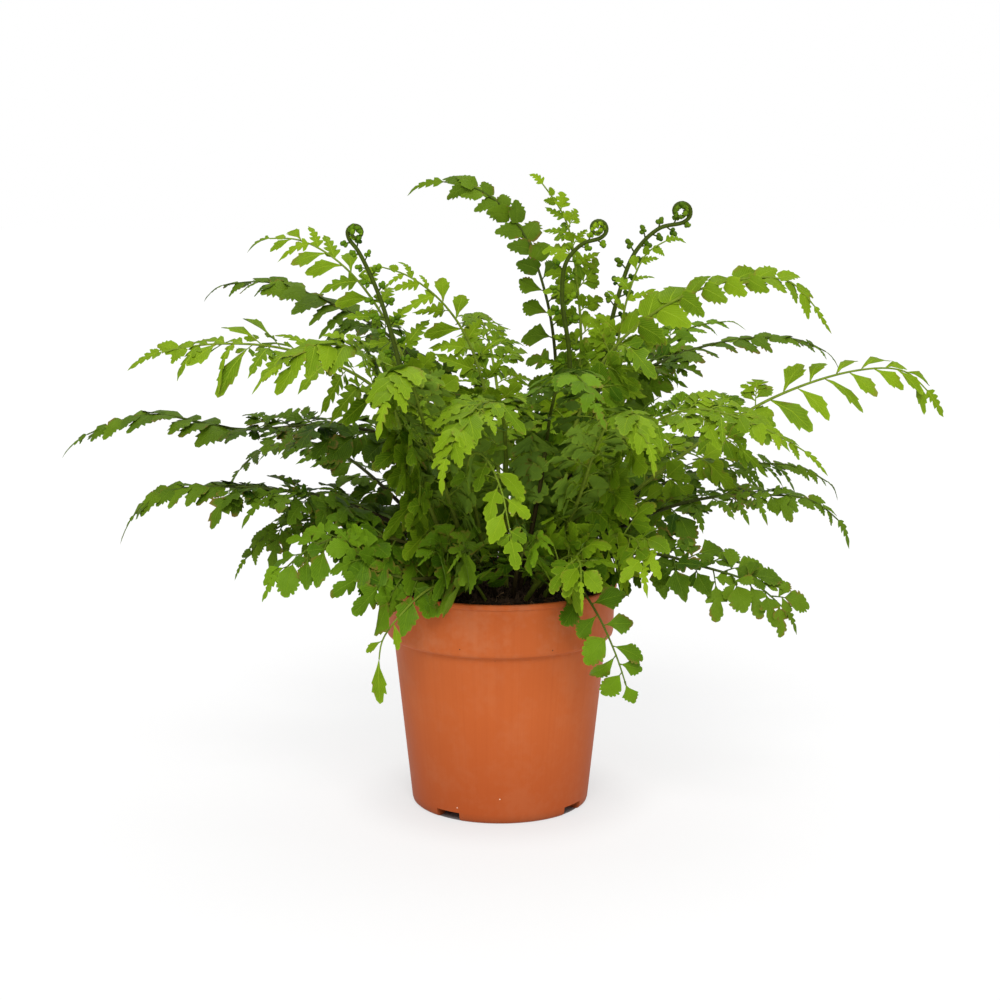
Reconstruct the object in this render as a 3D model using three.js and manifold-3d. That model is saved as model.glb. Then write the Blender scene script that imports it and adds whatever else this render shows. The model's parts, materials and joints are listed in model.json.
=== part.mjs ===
// A potted fern: a bushy spleenwort in a plastic nursery pot.
// Millimetres, +Z up. The origin is under the middle of the pot, where it stands; -Y is the front.
import * as THREE from 'three';
import { ConvexGeometry } from 'three/addons/geometries/ConvexGeometry.js';
import { mergeVertices } from 'three/addons/utils/BufferGeometryUtils.js';
import Module from 'manifold-3d';

const wasm = await Module();
wasm.setup();

// ---- driving dimensions ----

const pot = {
  height: 116,
  lipRadius: 60,
  lipHeight: 2.6,
  lipOverhang: 1,
  bandHeight: 27.6,
  bandTaper: 0.7,
  shoulder: 3.6, // how far the band stands out of the wall under it
  shoulderHeight: 2.4,
  edge: 0.6, // the small bevels of the lip and the band
  footRadius: 45.4,
  footRounding: 2.6,
  footRing: 3.4,
  wall: 1.8,
  floorUnder: 4.2,
  sides: 32,
};
const notch = { width: 14, height: 4.6, depth: 12, count: 4, firstTurn: 234.5 };
const drain = { radius: 3.6, circle: 27, count: 6, sides: 6, depth: 12 };
const soil = { level: 110, mound: 0.8, clods: 0.5, sides: 16, wallGap: 0.7 };
const crown = { radius: 28.5, bottom: 101, top: 117, sides: 11, knob: 1.1 };
const gap = 0.3;

const stipe = { width: 2.1, tipWidth: 1.1, flatness: 0.9, seated: 15, steps: 4, holeGap: 0.4, collar: 0.01 };
const coilShape = { steps: 7, stepForward: 0.25, closing: 0.62, tip: 1.8 };
const blade = { rib: 1.2, root: 2.2, cup: 0.22 };
const test = { rib: 0.8, length: 1.02 }; // how much larger a blade is taken when it is kept clear
const tipBlade = { share: 0.27, shortest: 7, cup: 0.15, sag: 0.15 };
const sizes = { spear: 8, cut: 25, fan: 17 }; // the lengths where a leaf's outline changes
// How pinnae grow up the blade: angles in degrees, lengths as shares of the longest.
const growth = {
  firstLength: 0.72, swell: 1.6, taper: 0.74, taperPower: 1.25, lengthSpread: 0.13,
  swing: 62, swingLoss: 14, swingSpread: 8, lift: 10, liftSpread: 12, sag: 0.22, sagSpread: 0.16,
  bareTip: 0.02, rootShare: 0.4,
};
const ripple = { acrossX: 0.41, acrossY: 0.37, shift: 1.3, fineX: 0.9, fineY: 0.77, fineShare: 0.5 };

// Leaf outlines from the root to the tip, one side: u along the leaf and v across it, as shares of
// its length. Each lobe has a point on the midrib, which its edge is fanned to.
const outlines = {
  spear: [{ rib: 0.36, edge: [[0.4, 0.2]] }],
  cutSmall: [{ rib: 0.4, edge: [[0.48, 0.37], [0.56, 0.14]] }],
  cutLarge: [
    { rib: 0.26, edge: [[0.34, 0.36], [0.4, 0.11]] },
    { rib: 0.58, edge: [[0.66, 0.31], [0.72, 0.11]] },
  ],
  fanSmall: [{ rib: 0.5, edge: [[0.62, 0.42], [0.76, 0.3]] }],
  fanLarge: [
    { rib: 0.34, edge: [[0.42, 0.38], [0.52, 0.27]] },
    { rib: 0.68, edge: [[0.76, 0.43], [0.85, 0.24]] },
  ],
};

const looks = {
  pot: { color: '#c06a3c', roughness: 0.55, metalness: 0 },
  soil: { color: '#2b2019', roughness: 0.95, metalness: 0 },
  crown: { color: '#4a3524', roughness: 0.9, metalness: 0 },
  light: { color: '#86ad2c', roughness: 0.5, metalness: 0 },
  mid: { color: '#55842a', roughness: 0.5, metalness: 0 },
  dark: { color: '#345c1f', roughness: 0.45, metalness: 0 },
};

// ---- fronds ----
// route: from the crown to the tip. reach: the longest pinna. pairs: pinna pairs. bare: the share of
// the route under the first pinna. facing: degrees the blade is turned from the sky to the front.
// leaf: cut (lobed pinnae) or fan (broad leaflets).
const fronds = [
  // left
  { name: 'frond_far_left', tone: 'dark', leaf: 'cut', reach: 30, pairs: 10, bare: 0.3, facing: 10,
    route: [[-8, -3, 109], [-26, -7, 174], [-74, -12, 197], [-130, -20, 197],
      [-175, -26, 205], [-213, -30, 192]] },
  { name: 'frond_low_left', tone: 'dark', leaf: 'cut', reach: 28, pairs: 8, bare: 0.3, facing: 12,
    route: [[-22, -10, 109], [-42, -19, 141], [-79, -30, 162], [-128, -38, 171],
      [-168, -44, 168], [-182, -46, 155]] },
  { name: 'frond_left_light', tone: 'light', leaf: 'cut', reach: 36, pairs: 9, bare: 0.3, facing: 34,
    route: [[-13, -9, 109], [-30, -22, 172], [-61, -44, 221], [-100, -62, 241],
      [-134, -74, 245], [-165, -84, 241]] },
  { name: 'frond_upper_left', tone: 'dark', leaf: 'cut', reach: 22, pairs: 8, bare: 0.42, facing: 16,
    route: [[-9, 8, 109], [-24, 17, 180], [-50, 34, 231], [-90, 52, 254],
      [-124, 62, 264], [-155, 68, 261]] },
  { name: 'frond_top_left', tone: 'light', leaf: 'cut', reach: 26, pairs: 7, bare: 0.42, facing: 50,
    route: [[-13, 3, 109], [-32, 6, 174], [-55, 12, 242], [-78, 17, 274],
      [-101, 21, 288], [-123, 24, 289]] },
  { name: 'frond_inner_left', tone: 'light', leaf: 'cut', reach: 24, pairs: 6, bare: 0.4, facing: 60,
    route: [[1, 10, 109], [-2, 21, 180], [-14, 17, 232], [-28, 11, 256], [-46, 6, 271], [-63, 2, 277]] },
  { name: 'frond_lean_left', tone: 'light', leaf: 'cut', reach: 34, pairs: 7, bare: 0.3, facing: 30,
    route: [[-15, -14, 109], [-38, -40, 170], [-52, -70, 219], [-64, -92, 243],
      [-82, -110, 248], [-104, -124, 238]] },
  { name: 'frond_side_left', tone: 'mid', leaf: 'fan', reach: 24, pairs: 3, bare: 0.36, facing: 62,
    route: [[-14, -20, 109], [-25, -35, 124], [-46, -52, 128], [-64, -62, 138], [-76, -68, 154]] },
  { name: 'frond_drop_left', tone: 'mid', leaf: 'cut', reach: 25, pairs: 5, bare: 0.3, facing: 45,
    route: [[-19.5, -17, 109], [-36, -32, 136], [-64, -50, 149], [-90, -62, 146], [-112, -70, 128]] },
  { name: 'frond_twist_left', tone: 'dark', leaf: 'cut', reach: 25, pairs: 6, bare: 0.3, facing: 45,
    route: [[-20, -4, 109], [-43, -8, 138], [-78, -10, 149], [-112, -13, 146], [-134, -15, 124]] },
  { name: 'frond_rim_left', tone: 'light', leaf: 'fan', reach: 12, pairs: 3, bare: 0.42, facing: 70,
    route: [[-6, -24.5, 109], [-14, -36, 122], [-34, -52, 123], [-49, -61, 111],
      [-56, -65, 94], [-52, -67, 78]] },
  // top
  { name: 'frond_top_dark', tone: 'dark', leaf: 'fan', reach: 19, pairs: 8, bare: 0.44, facing: 66,
    route: [[9, 12.5, 109], [27, 21, 172], [29, 25, 222], [23, 29, 262], [9, 32, 296],
      [-12, 33, 314], [-34, 34, 318]] },
  { name: 'frond_top_light', tone: 'light', leaf: 'cut', reach: 22, pairs: 7, bare: 0.42, facing: 74,
    route: [[11, 7, 109], [33, 10, 172], [41, 9, 228], [39, 7, 267], [33, 5, 299], [17, 2, 323]] },
  { name: 'frond_tip_right', tone: 'light', leaf: 'cut', reach: 20, pairs: 5, bare: 0.44, facing: 66,
    route: [[14, -6, 109], [40, -7, 172], [57, -13, 233], [64, -18, 266],
      [72, -21, 284], [84, -24, 292]] },
  // right
  { name: 'frond_arch_right', tone: 'light', leaf: 'fan', reach: 26, pairs: 8, bare: 0.34, facing: 44,
    route: [[9, -5, 109], [33, -14, 184], [51, -22, 231], [80, -31, 259], [112, -38, 272],
      [139, -42, 272], [155, -45, 256]] },
  { name: 'frond_arch_dark', tone: 'dark', leaf: 'cut', reach: 23, pairs: 8, bare: 0.36, facing: 14,
    route: [[17, 9, 109], [38, 19, 170], [60, 29, 210], [92, 41, 227], [127, 49, 235],
      [158, 55, 234], [178, 59, 225]] },
  { name: 'frond_long_right', tone: 'light', leaf: 'cut', reach: 31, pairs: 9, bare: 0.3, facing: 52,
    route: [[19, -3, 109], [48, -9, 145], [95, -16, 186], [137, -18, 213], [179, -15, 226],
      [202, -13, 225], [217, -12, 212]] },
  { name: 'frond_bow_right', tone: 'dark', leaf: 'cut', reach: 26, pairs: 7, bare: 0.3, facing: 18,
    route: [[24, 5, 109], [52, 16, 143], [92, 32, 163], [130, 44, 169],
      [160, 51, 166], [180, 56, 155]] },
  { name: 'frond_low_right', tone: 'dark', leaf: 'cut', reach: 26, pairs: 6, bare: 0.3, facing: 22,
    route: [[24.5, -2, 109], [56, -19, 144], [94, -34, 163], [127, -44, 168],
      [152, -50, 166], [168, -54, 154]] },
  { name: 'frond_side_right', tone: 'dark', leaf: 'cut', reach: 30, pairs: 5, bare: 0.32, facing: 36,
    route: [[24, -8.5, 109], [46, -28, 131], [73, -50, 140], [97, -66, 137],
      [122, -76, 130], [140, -82, 115]] },
  { name: 'frond_light_right', tone: 'light', leaf: 'cut', reach: 31, pairs: 6, bare: 0.32, facing: 34,
    route: [[18, -9, 109], [42, -28, 158], [66, -52, 199], [92, -72, 214],
      [121, -88, 208], [147, -98, 194]] },
  { name: 'frond_mid_right', tone: 'mid', leaf: 'cut', reach: 27, pairs: 5, bare: 0.36, facing: 38,
    route: [[22, 11.5, 109], [44, 30, 160], [70, 48, 210], [98, 62, 238], [129, 74, 243]] },
  { name: 'frond_rim_right', tone: 'mid', leaf: 'fan', reach: 17, pairs: 4, bare: 0.34, facing: 78,
    route: [[17, -19, 109], [25, -34, 123], [37, -51, 125], [47, -63, 113],
      [56, -69, 94], [62, -70, 76]] },
  // front
  { name: 'frond_nod', tone: 'light', leaf: 'fan', reach: 24, pairs: 3, bare: 0.46, facing: 60,
    route: [[-3, -14, 109], [-12, -36, 158], [-15, -62, 188], [-8, -84, 194],
      [0, -100, 182], [5, -108, 160]] },
  { name: 'frond_face_left', tone: 'light', leaf: 'cut', reach: 31, pairs: 6, bare: 0.32, facing: 10,
    route: [[-9, -14, 109], [-25, -36, 164], [-36, -64, 205], [-42, -90, 232],
      [-46, -116, 236], [-52, -139, 222]] },
  { name: 'frond_face_right', tone: 'light', leaf: 'cut', reach: 30, pairs: 6, bare: 0.34, facing: 8,
    route: [[14, -14, 109], [36, -38, 158], [46, -62, 194], [53, -86, 213],
      [60, -110, 215], [68, -130, 202]] },
  { name: 'frond_peak', tone: 'mid', leaf: 'cut', reach: 28, pairs: 5, bare: 0.34, facing: 12,
    route: [[9, -13, 109], [20, -34, 172], [25, -58, 214], [30, -82, 232],
      [37, -106, 232], [44, -126, 220]] },
  { name: 'frond_lean_front', tone: 'light', leaf: 'cut', reach: 31, pairs: 6, bare: 0.32, facing: 10,
    route: [[3, -10, 109], [3, -38, 186], [0, -66, 214], [-8, -94, 220],
      [-18, -120, 212], [-26, -138, 196]] },
  { name: 'frond_fan_left', tone: 'mid', leaf: 'fan', reach: 19, pairs: 3, bare: 0.34, facing: 55,
    route: [[-9, -20, 109], [-14, -31, 129], [-26, -54, 142], [-34, -76, 145]] },
  { name: 'frond_fan_low', tone: 'dark', leaf: 'fan', reach: 19, pairs: 3, bare: 0.34, facing: 50,
    route: [[-1, -21, 109], [-7, -42, 130], [-14, -64, 144], [-20, -86, 147]] },
  { name: 'frond_fan_mid', tone: 'mid', leaf: 'fan', reach: 18, pairs: 3, bare: 0.34, facing: 50,
    route: [[6, -21, 109], [9, -42, 132], [14, -64, 149], [20, -84, 153]] },
  { name: 'frond_fan_right', tone: 'light', leaf: 'fan', reach: 19, pairs: 3, bare: 0.34, facing: 50,
    route: [[12, -21.5, 109], [22, -40, 127], [33, -58, 140], [38, -78, 141], [38, -92, 132]] },
  { name: 'frond_fan_corner', tone: 'light', leaf: 'fan', reach: 20, pairs: 3, bare: 0.34, facing: 52,
    route: [[21, -14, 109], [38, -34, 134], [56, -54, 150], [66, -74, 150], [68, -92, 138]] },
  // back
  { name: 'frond_back_left', tone: 'mid', leaf: 'cut', reach: 31, pairs: 6, bare: 0.3, facing: -8,
    route: [[-5, 17, 109], [-20, 38, 172], [-50, 78, 222], [-82, 116, 236], [-106, 138, 220]] },
  { name: 'frond_back_mid', tone: 'light', leaf: 'cut', reach: 30, pairs: 6, bare: 0.32, facing: -10,
    route: [[3, 17, 109], [2, 42, 176], [-6, 84, 230], [-14, 118, 242], [-20, 143, 226]] },
  { name: 'frond_back_right', tone: 'light', leaf: 'cut', reach: 31, pairs: 6, bare: 0.3, facing: -8,
    route: [[12, 18, 109], [25, 42, 168], [52, 80, 218], [80, 112, 227], [101, 134, 208]] },
  { name: 'frond_back_low_right', tone: 'dark', leaf: 'cut', reach: 30, pairs: 6, bare: 0.28, facing: 0,
    route: [[18, 17, 109], [46, 38, 144], [88, 66, 173], [122, 90, 174], [145, 106, 156]] },
  { name: 'frond_back_low_left', tone: 'dark', leaf: 'cut', reach: 30, pairs: 6, bare: 0.28, facing: 0,
    route: [[-16, 17.5, 109], [-48, 38, 144], [-92, 68, 174], [-128, 90, 171], [-150, 104, 152]] },
  { name: 'frond_back_drop', tone: 'dark', leaf: 'cut', reach: 27, pairs: 5, bare: 0.3, facing: -30,
    route: [[1, 24, 109], [-8, 52, 138], [-17, 88, 157], [-25, 114, 150], [-29, 130, 131]] },
  { name: 'frond_back_fan', tone: 'mid', leaf: 'fan', reach: 22, pairs: 3, bare: 0.36, facing: -35,
    route: [[8, 23.5, 109], [26, 56, 138], [44, 88, 151], [56, 112, 140], [60, 125, 121]] },
  { name: 'frond_back_rim', tone: 'light', leaf: 'fan', reach: 15, pairs: 3, bare: 0.4, facing: -70,
    route: [[-7, 23.5, 109], [-16, 38, 123], [-36, 53, 125], [-46, 66, 112],
      [-51, 73, 94], [-50, 77, 80]] },
  // croziers: young fronds that still end in a coil
  { name: 'crozier_left', tone: 'mid', leaf: 'cut', reach: 8, pairs: 3, bare: 0.72, facing: 80,
    coil: { radius: 4.4, turns: 1.3, towards: 1 },
    route: [[-14, -3, 109], [-36, -13, 169], [-44, -12, 200], [-51, -10, 231],
      [-60, -9, 262], [-70, -9, 284], [-75, -9, 291]] },
  { name: 'crozier_middle', tone: 'light', leaf: 'cut', reach: 7, pairs: 3, bare: 0.74, facing: 80,
    coil: { radius: 4.9, turns: 1.3, towards: -1 },
    route: [[10, 1, 109], [32, 1, 173], [35, -3, 230], [31, -5, 262], [33, -7, 279],
      [41, -8, 288], [50, -8, 291]] },
  { name: 'crozier_right', tone: 'dark', leaf: 'cut', reach: 10, pairs: 4, bare: 0.6, facing: 76,
    coil: { radius: 5.6, turns: 1.3, towards: -1 },
    route: [[16, 3, 109], [42, 6, 169], [53, 6, 232], [60, 6, 262], [68, 6, 283],
      [80, 6, 295], [92, 6, 298]] },
];

// ---- small helpers ----

const radians = THREE.MathUtils.degToRad;
const vec = (x, y, z) => new THREE.Vector3(x, y, z);

// A fixed draw from 0 to 1 for item i of series j.
function draw(i, j) {
  const wave = Math.sin(i * 12.9898 + j * 78.233) * 43758.5453;
  return wave - Math.floor(wave);
}
const spread = (i, j, size) => (draw(i, j) * 2 - 1) * size;

function toSolid(geometry) {
  const bare = geometry.clone();
  bare.deleteAttribute('normal');
  bare.deleteAttribute('uv');
  const merged = mergeVertices(bare, 1e-3);
  const triVerts = new Uint32Array(merged.index.array);
  return new wasm.Manifold(
    new wasm.Mesh({ numProp: 3, vertProperties: merged.attributes.position.array, triVerts }),
  );
}

function toGeometry(solid) {
  const { vertProperties, triVerts } = solid.getMesh();
  const geometry = new THREE.BufferGeometry();
  geometry.setAttribute('position', new THREE.BufferAttribute(new Float32Array(vertProperties), 3));
  geometry.setIndex(new THREE.BufferAttribute(new Uint32Array(triVerts), 1));
  geometry.computeVertexNormals();
  return geometry;
}

function toMesh(name, solid, look) {
  const mesh = new THREE.Mesh(toGeometry(solid), new THREE.MeshStandardMaterial(look));
  mesh.name = name;
  return mesh;
}

// A closed turned body from [radius, height] pairs.
function turned(profile, sides) {
  const points = profile.map(([radius, height]) => new THREE.Vector2(radius, height));
  return new THREE.LatheGeometry(points, sides).rotateX(Math.PI / 2);
}

// ---- pot, soil and crown ----

function wallRadius(height) {
  const top = pot.height - pot.bandHeight;
  const topRadius = pot.lipRadius - pot.lipOverhang - pot.bandTaper - pot.shoulder;
  return THREE.MathUtils.mapLinear(height, pot.footRounding, top, pot.footRadius, topRadius);
}

function makePot() {
  const bandFoot = pot.height - pot.bandHeight;
  const bandRadius = pot.lipRadius - pot.lipOverhang;
  const bandFootRadius = bandRadius - pot.bandTaper;
  const ringOut = pot.footRadius - pot.footRounding;
  const ringIn = ringOut - pot.footRing;
  const shoulderTop = bandFoot + pot.shoulderHeight;
  const floorTop = pot.floorUnder + pot.wall;
  const profile = [
    [0, pot.floorUnder],
    [ringIn - 1, pot.floorUnder],
    [ringIn, 0],
    [ringOut, 0],
    [pot.footRadius - pot.edge, 1],
    [pot.footRadius, pot.footRounding],
    [wallRadius(bandFoot), bandFoot - pot.edge],
    [bandFootRadius - pot.edge * 2, bandFoot],
    [bandFootRadius, shoulderTop],
    [bandRadius, pot.height - pot.lipHeight - pot.edge],
    [pot.lipRadius, pot.height - pot.lipHeight],
    [pot.lipRadius - pot.edge / 2, pot.height],
    [bandRadius - pot.wall, pot.height],
    [bandFootRadius - pot.wall, shoulderTop],
    [wallRadius(bandFoot) - pot.wall, bandFoot - 2],
    [wallRadius(floorTop) - pot.wall, floorTop],
    [0, floorTop],
  ];
  let body = toSolid(turned(profile, pot.sides));
  for (let i = 0; i < notch.count; i++) {
    const turn = radians(notch.firstTurn + (i * 360) / notch.count);
    const cut = new THREE.BoxGeometry(notch.depth, notch.width, notch.height * 2);
    cut.translate(pot.footRadius - notch.depth / 3, 0, 0).rotateZ(turn);
    body = body.subtract(toSolid(cut));
  }
  for (let i = 0; i < drain.count; i++) {
    const turn = (i * 2 * Math.PI) / drain.count;
    const cut = new THREE.CylinderGeometry(drain.radius, drain.radius, drain.depth, drain.sides);
    cut.rotateX(Math.PI / 2);
    cut.translate(drain.circle * Math.cos(turn), drain.circle * Math.sin(turn), pot.floorUnder);
    body = body.subtract(toSolid(cut));
  }
  return body;
}

// Lifts each vertex above a level by a fixed ripple, so that the surface is lumpy.
function roughen(geometry, level, size) {
  const at = geometry.attributes.position;
  for (let i = 0; i < at.count; i++) {
    const [x, y, z] = [at.getX(i), at.getY(i), at.getZ(i)];
    const broad = Math.sin(x * ripple.acrossX + ripple.shift) * Math.cos(y * ripple.acrossY);
    const fine = ripple.fineShare * Math.sin(x * ripple.fineX - y * ripple.fineY);
    if (z > level) at.setZ(i, z + (broad + fine) * size);
  }
  return geometry;
}

const crownBody = (extra) => [
  [0, crown.bottom - extra],
  [crown.radius * 0.7, crown.bottom - extra],
  [crown.radius + extra, soil.level],
  [crown.radius * 0.9 + extra, crown.top - 3],
  [crown.radius * 0.45, crown.top + extra],
  [0, crown.top + extra],
];

function makeSoil() {
  const floorTop = pot.floorUnder + pot.wall + gap;
  const inset = pot.wall + soil.wallGap;
  const bandFoot = pot.height - pot.bandHeight;
  const topRadius = pot.lipRadius - pot.lipOverhang - inset;
  const profile = [
    [0, floorTop],
    [wallRadius(floorTop) - inset, floorTop],
    [wallRadius(bandFoot) - inset, bandFoot - pot.shoulderHeight],
    [topRadius - pot.bandTaper, bandFoot + pot.shoulderHeight + pot.edge],
    [topRadius, soil.level],
    [topRadius * 0.8, soil.level + soil.mound * 0.7],
    [topRadius * 0.6, soil.level + soil.mound],
    [topRadius * 0.4, soil.level + soil.mound],
    [0, soil.level + soil.mound],
  ];
  const heap = toSolid(roughen(turned(profile, soil.sides), soil.level + 0.1, soil.clods));
  return heap.subtract(toSolid(turned(crownBody(gap * 2), crown.sides)));
}

function makeCrown() {
  const knobbly = roughen(turned(crownBody(0), crown.sides), soil.level + 1.5, crown.knob);
  return toSolid(knobbly);
}

// ---- fronds ----

// Collects the corners and triangles of one closed skin.
class Skin {
  constructor() {
    this.corners = [];
    this.faces = [];
  }
  corner(point) {
    return this.corners.push(point) - 1;
  }
  face(a, b, c, turnedOver = false) {
    this.faces.push(turnedOver ? [a, c, b] : [a, b, c]);
  }
  geometry() {
    const geometry = new THREE.BufferGeometry().setFromPoints(this.corners);
    geometry.setIndex(this.faces.flat());
    return geometry;
  }
}

function coilPoints(route, coil) {
  const start = vec(...route[route.length - 1]);
  const before = vec(...route[route.length - 2]);
  const heading = Math.atan2(start.z - before.z, start.x - before.x);
  const steps = Math.round(coil.turns * coilShape.steps);
  const toCentre = heading - (coil.towards * Math.PI) / 2;
  const centre = vec(Math.cos(toCentre), 0, Math.sin(toCentre)).multiplyScalar(coil.radius).add(start);
  const points = [];
  for (let i = 1; i <= steps; i++) {
    const turn = toCentre + Math.PI - (coil.towards * i * 2 * Math.PI) / coilShape.steps;
    const radius = coil.radius * (1 - (coilShape.closing * i) / steps);
    const forward = -coilShape.stepForward * i;
    points.push(vec(Math.cos(turn) * radius, forward, Math.sin(turn) * radius).add(centre));
  }
  return points;
}

// The rachis as a curve with a frame at each share s of its length.
class Rachis {
  constructor(frond) {
    const points = frond.route.map((point) => vec(...point));
    if (frond.coil) points.push(...coilPoints(frond.route, frond.coil));
    this.curve = new THREE.CatmullRomCurve3(points);
    this.curve.arcLengthDivisions = 400;
    this.length = this.curve.getLength();
    this.sky = vec(0, -Math.sin(radians(frond.facing)), Math.cos(radians(frond.facing)));
  }
  frame(s) {
    const point = this.curve.getPointAt(s);
    const ahead = this.curve.getTangentAt(s);
    const right = ahead.clone().cross(this.sky).normalize();
    const up = right.clone().cross(ahead);
    return { point, ahead, right, up };
  }
  width(s) {
    return THREE.MathUtils.lerp(stipe.width, stipe.tipWidth, s);
  }
  // The corner on one side (1 right, -1 left), above or below (1, -1), grown by a margin.
  corner(s, side, level, margin = 0) {
    const { point, right, up } = this.frame(s);
    const half = this.width(s) / 2 + margin;
    const high = half * stipe.flatness;
    return point.clone().addScaledVector(right, side * half).addScaledVector(up, level * high);
  }
}

// One lobed blade on four root corners: the upper and lower faces share the edge and are split alike,
// and the midrib stands half a rib off it to each side.
function addBlade(skin, root, form) {
  const { origin, along, rear, up, length, outline, sag, cup, rib, turnedOver } = form;
  const at = (u, v) =>
    origin
      .clone()
      .addScaledVector(along, u * length)
      .addScaledVector(rear, v * length)
      .addScaledVector(up, -cup * Math.abs(v) * length)
      .add(vec(0, 0, -sag * u * u * length));
  const tip = skin.corner(at(1, 0));
  const ribs = outline.map((lobe) => {
    const middle = at(lobe.rib, 0);
    return [1, -1].map((level) => skin.corner(middle.clone().addScaledVector(up, (level * rib) / 2)));
  });
  const edges = [1, -1].map((side) =>
    outline.map((lobe) => lobe.edge.map(([u, v]) => skin.corner(at(u, side * v)))),
  );
  [0, 1].forEach((level) => {
    const over = turnedOver !== (level === 1);
    skin.face(root[0][level], ribs[0][level], root[1][level], over);
    edges.forEach((lobes, chain) => {
      const flip = over !== (chain === 1);
      let last = root[chain][level];
      lobes.forEach((points, lobe) => {
        if (lobe > 0) skin.face(last, ribs[lobe][level], ribs[lobe - 1][level], flip);
        points.forEach((point) => {
          skin.face(last, point, ribs[lobe][level], flip);
          last = point;
        });
      });
      skin.face(last, tip, ribs[ribs.length - 1][level], flip);
    });
  });
  skin.face(root[0][0], root[0][1], edges[0][0][0], turnedOver);
  skin.face(root[1][0], edges[1][0][0], root[1][1], turnedOver);
}

function pickOutline(leaf, length) {
  if (length < sizes.spear) return outlines.spear;
  return outlines[leaf + (length > sizes[leaf] ? 'Large' : 'Small')];
}

// The pinnae of a frond by rule: alternate, longest a fifth of the way up the blade.
function planPinnae(frond, index, rachis) {
  const first = frond.bare;
  const pitch = (1 - first - growth.bareTip) / frond.pairs;
  const plans = [];
  for (let i = 0; i < frond.pairs * 2; i++) {
    const side = i % 2 ? 1 : -1;
    const s = first + (pitch * i) / 2;
    const q = (s - first) / (1 - first);
    const swell = Math.min(1, growth.firstLength + q * growth.swell);
    const taper = 1 - growth.taper * q ** growth.taperPower;
    const length = frond.reach * swell * taper * (1 + spread(i, index, growth.lengthSpread));
    plans.push({
      s,
      side,
      length,
      swing: growth.swing - growth.swingLoss * q + spread(i, index + 50, growth.swingSpread),
      lift: growth.lift + spread(i, index + 100, growth.liftSpread),
      sag: growth.sag + growth.sagSpread * draw(i, index + 150),
      outline: pickOutline(frond.leaf, length),
      rootSpan: Math.min(blade.root / rachis.length, pitch * growth.rootShare),
    });
  }
  return plans;
}

function pinnaForm(rachis, plan, bend) {
  const { point, ahead, right, up } = rachis.frame(plan.s + plan.rootSpan / 2);
  const swing = radians(plan.swing + bend.swing);
  const lift = radians(plan.lift + bend.lift);
  const outward = right.clone().multiplyScalar(plan.side * Math.cos(lift));
  outward.addScaledVector(up, Math.sin(lift));
  const along = ahead.clone().multiplyScalar(Math.cos(swing)).addScaledVector(outward, Math.sin(swing));
  const rear = ahead.clone().negate().addScaledVector(along, ahead.dot(along)).normalize();
  const leafUp = rear.clone().cross(along).multiplyScalar(plan.side);
  return {
    origin: point.addScaledVector(right, (plan.side * rachis.width(plan.s)) / 2),
    along,
    rear,
    up: leafUp,
    length: plan.length * bend.scale,
    outline: plan.outline,
    sag: plan.sag,
    cup: blade.cup,
    rib: blade.rib,
    turnedOver: plan.side < 0,
  };
}

function tipForm(frond, rachis) {
  const { point, ahead, right, up } = rachis.frame(1);
  const length = frond.coil ? coilShape.tip : Math.max(tipBlade.shortest, frond.reach * tipBlade.share);
  return {
    origin: point,
    along: ahead,
    rear: right,
    up,
    length,
    outline: frond.coil ? outlines.spear : pickOutline(frond.leaf, length + 1),
    sag: tipBlade.sag,
    cup: tipBlade.cup,
    rib: blade.rib,
    turnedOver: false,
  };
}

// The stations along one side of a rachis: the stipe's own, then two for each pinna, then the end.
function stations(rachis, pinnae, side) {
  const seated = stipe.seated / rachis.length;
  const bareTop = pinnae[0].plan.s - stipe.collar;
  const stops = [{ s: 0 }];
  for (let i = 0; i < stipe.steps; i++) {
    stops.push({ s: THREE.MathUtils.lerp(seated, bareTop, i / (stipe.steps - 1)) });
  }
  pinnae.filter(({ plan }) => plan.side === side).forEach((pinna) => {
    stops.push({ s: pinna.plan.s, pinna });
    stops.push({ s: pinna.plan.s + pinna.plan.rootSpan });
  });
  stops.push({ s: 1 });
  return stops;
}

// The closed skin of a frond: a four-sided rachis whose side walls open into the pinnae.
function frondSkin(rachis, pinnae, tip, margin = 0) {
  const skin = new Skin();
  const chains = [-1, 1].map((side) => stations(rachis, pinnae, side));
  const corners = (s, side) => [1, -1].map((level) => skin.corner(rachis.corner(s, side, level, margin)));
  const rows = chains.map((stops, k) => stops.map(({ s }) => corners(s, k * 2 - 1)));
  const [left, right] = rows;
  let [i, j] = [0, 0];
  while (i < left.length - 1 || j < right.length - 1) {
    const leftDone = i === left.length - 1;
    const stepRight = j < right.length - 1 && (leftDone || chains[1][j + 1].s <= chains[0][i + 1].s);
    const next = stepRight ? right[j + 1] : left[i + 1];
    skin.face(left[i][0], right[j][0], next[0]);
    skin.face(left[i][1], right[j][1], next[1], true);
    if (stepRight) j++;
    else i++;
  }
  chains.forEach((stops, k) => {
    const flip = k === 0;
    for (let n = 0; n < stops.length - 1; n++) {
      const [top, low] = rows[k][n];
      const [nextTop, nextLow] = rows[k][n + 1];
      if (stops[n].pinna?.form) {
        addBlade(skin, [[top, low], [nextTop, nextLow]], stops[n].pinna.form);
      } else {
        skin.face(low, nextLow, nextTop, flip);
        skin.face(low, nextTop, top, flip);
      }
    }
  });
  const ends = [left[left.length - 1], right[right.length - 1]];
  skin.face(left[0][1], right[0][1], right[0][0]);
  skin.face(left[0][1], right[0][0], left[0][0]);
  addBlade(skin, [ends[1], ends[0]], tip);
  return skin.geometry();
}

// The plain hole that a stipe stands in: its lowest, straight stretch, a gap larger all round.
function stipeHole(rachis) {
  const corners = [0, stipe.seated / rachis.length].flatMap((s) =>
    [-1, 1].flatMap((side) => [-1, 1].map((level) => rachis.corner(s, side, level, stipe.holeGap))),
  );
  return new ConvexGeometry(corners);
}

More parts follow.
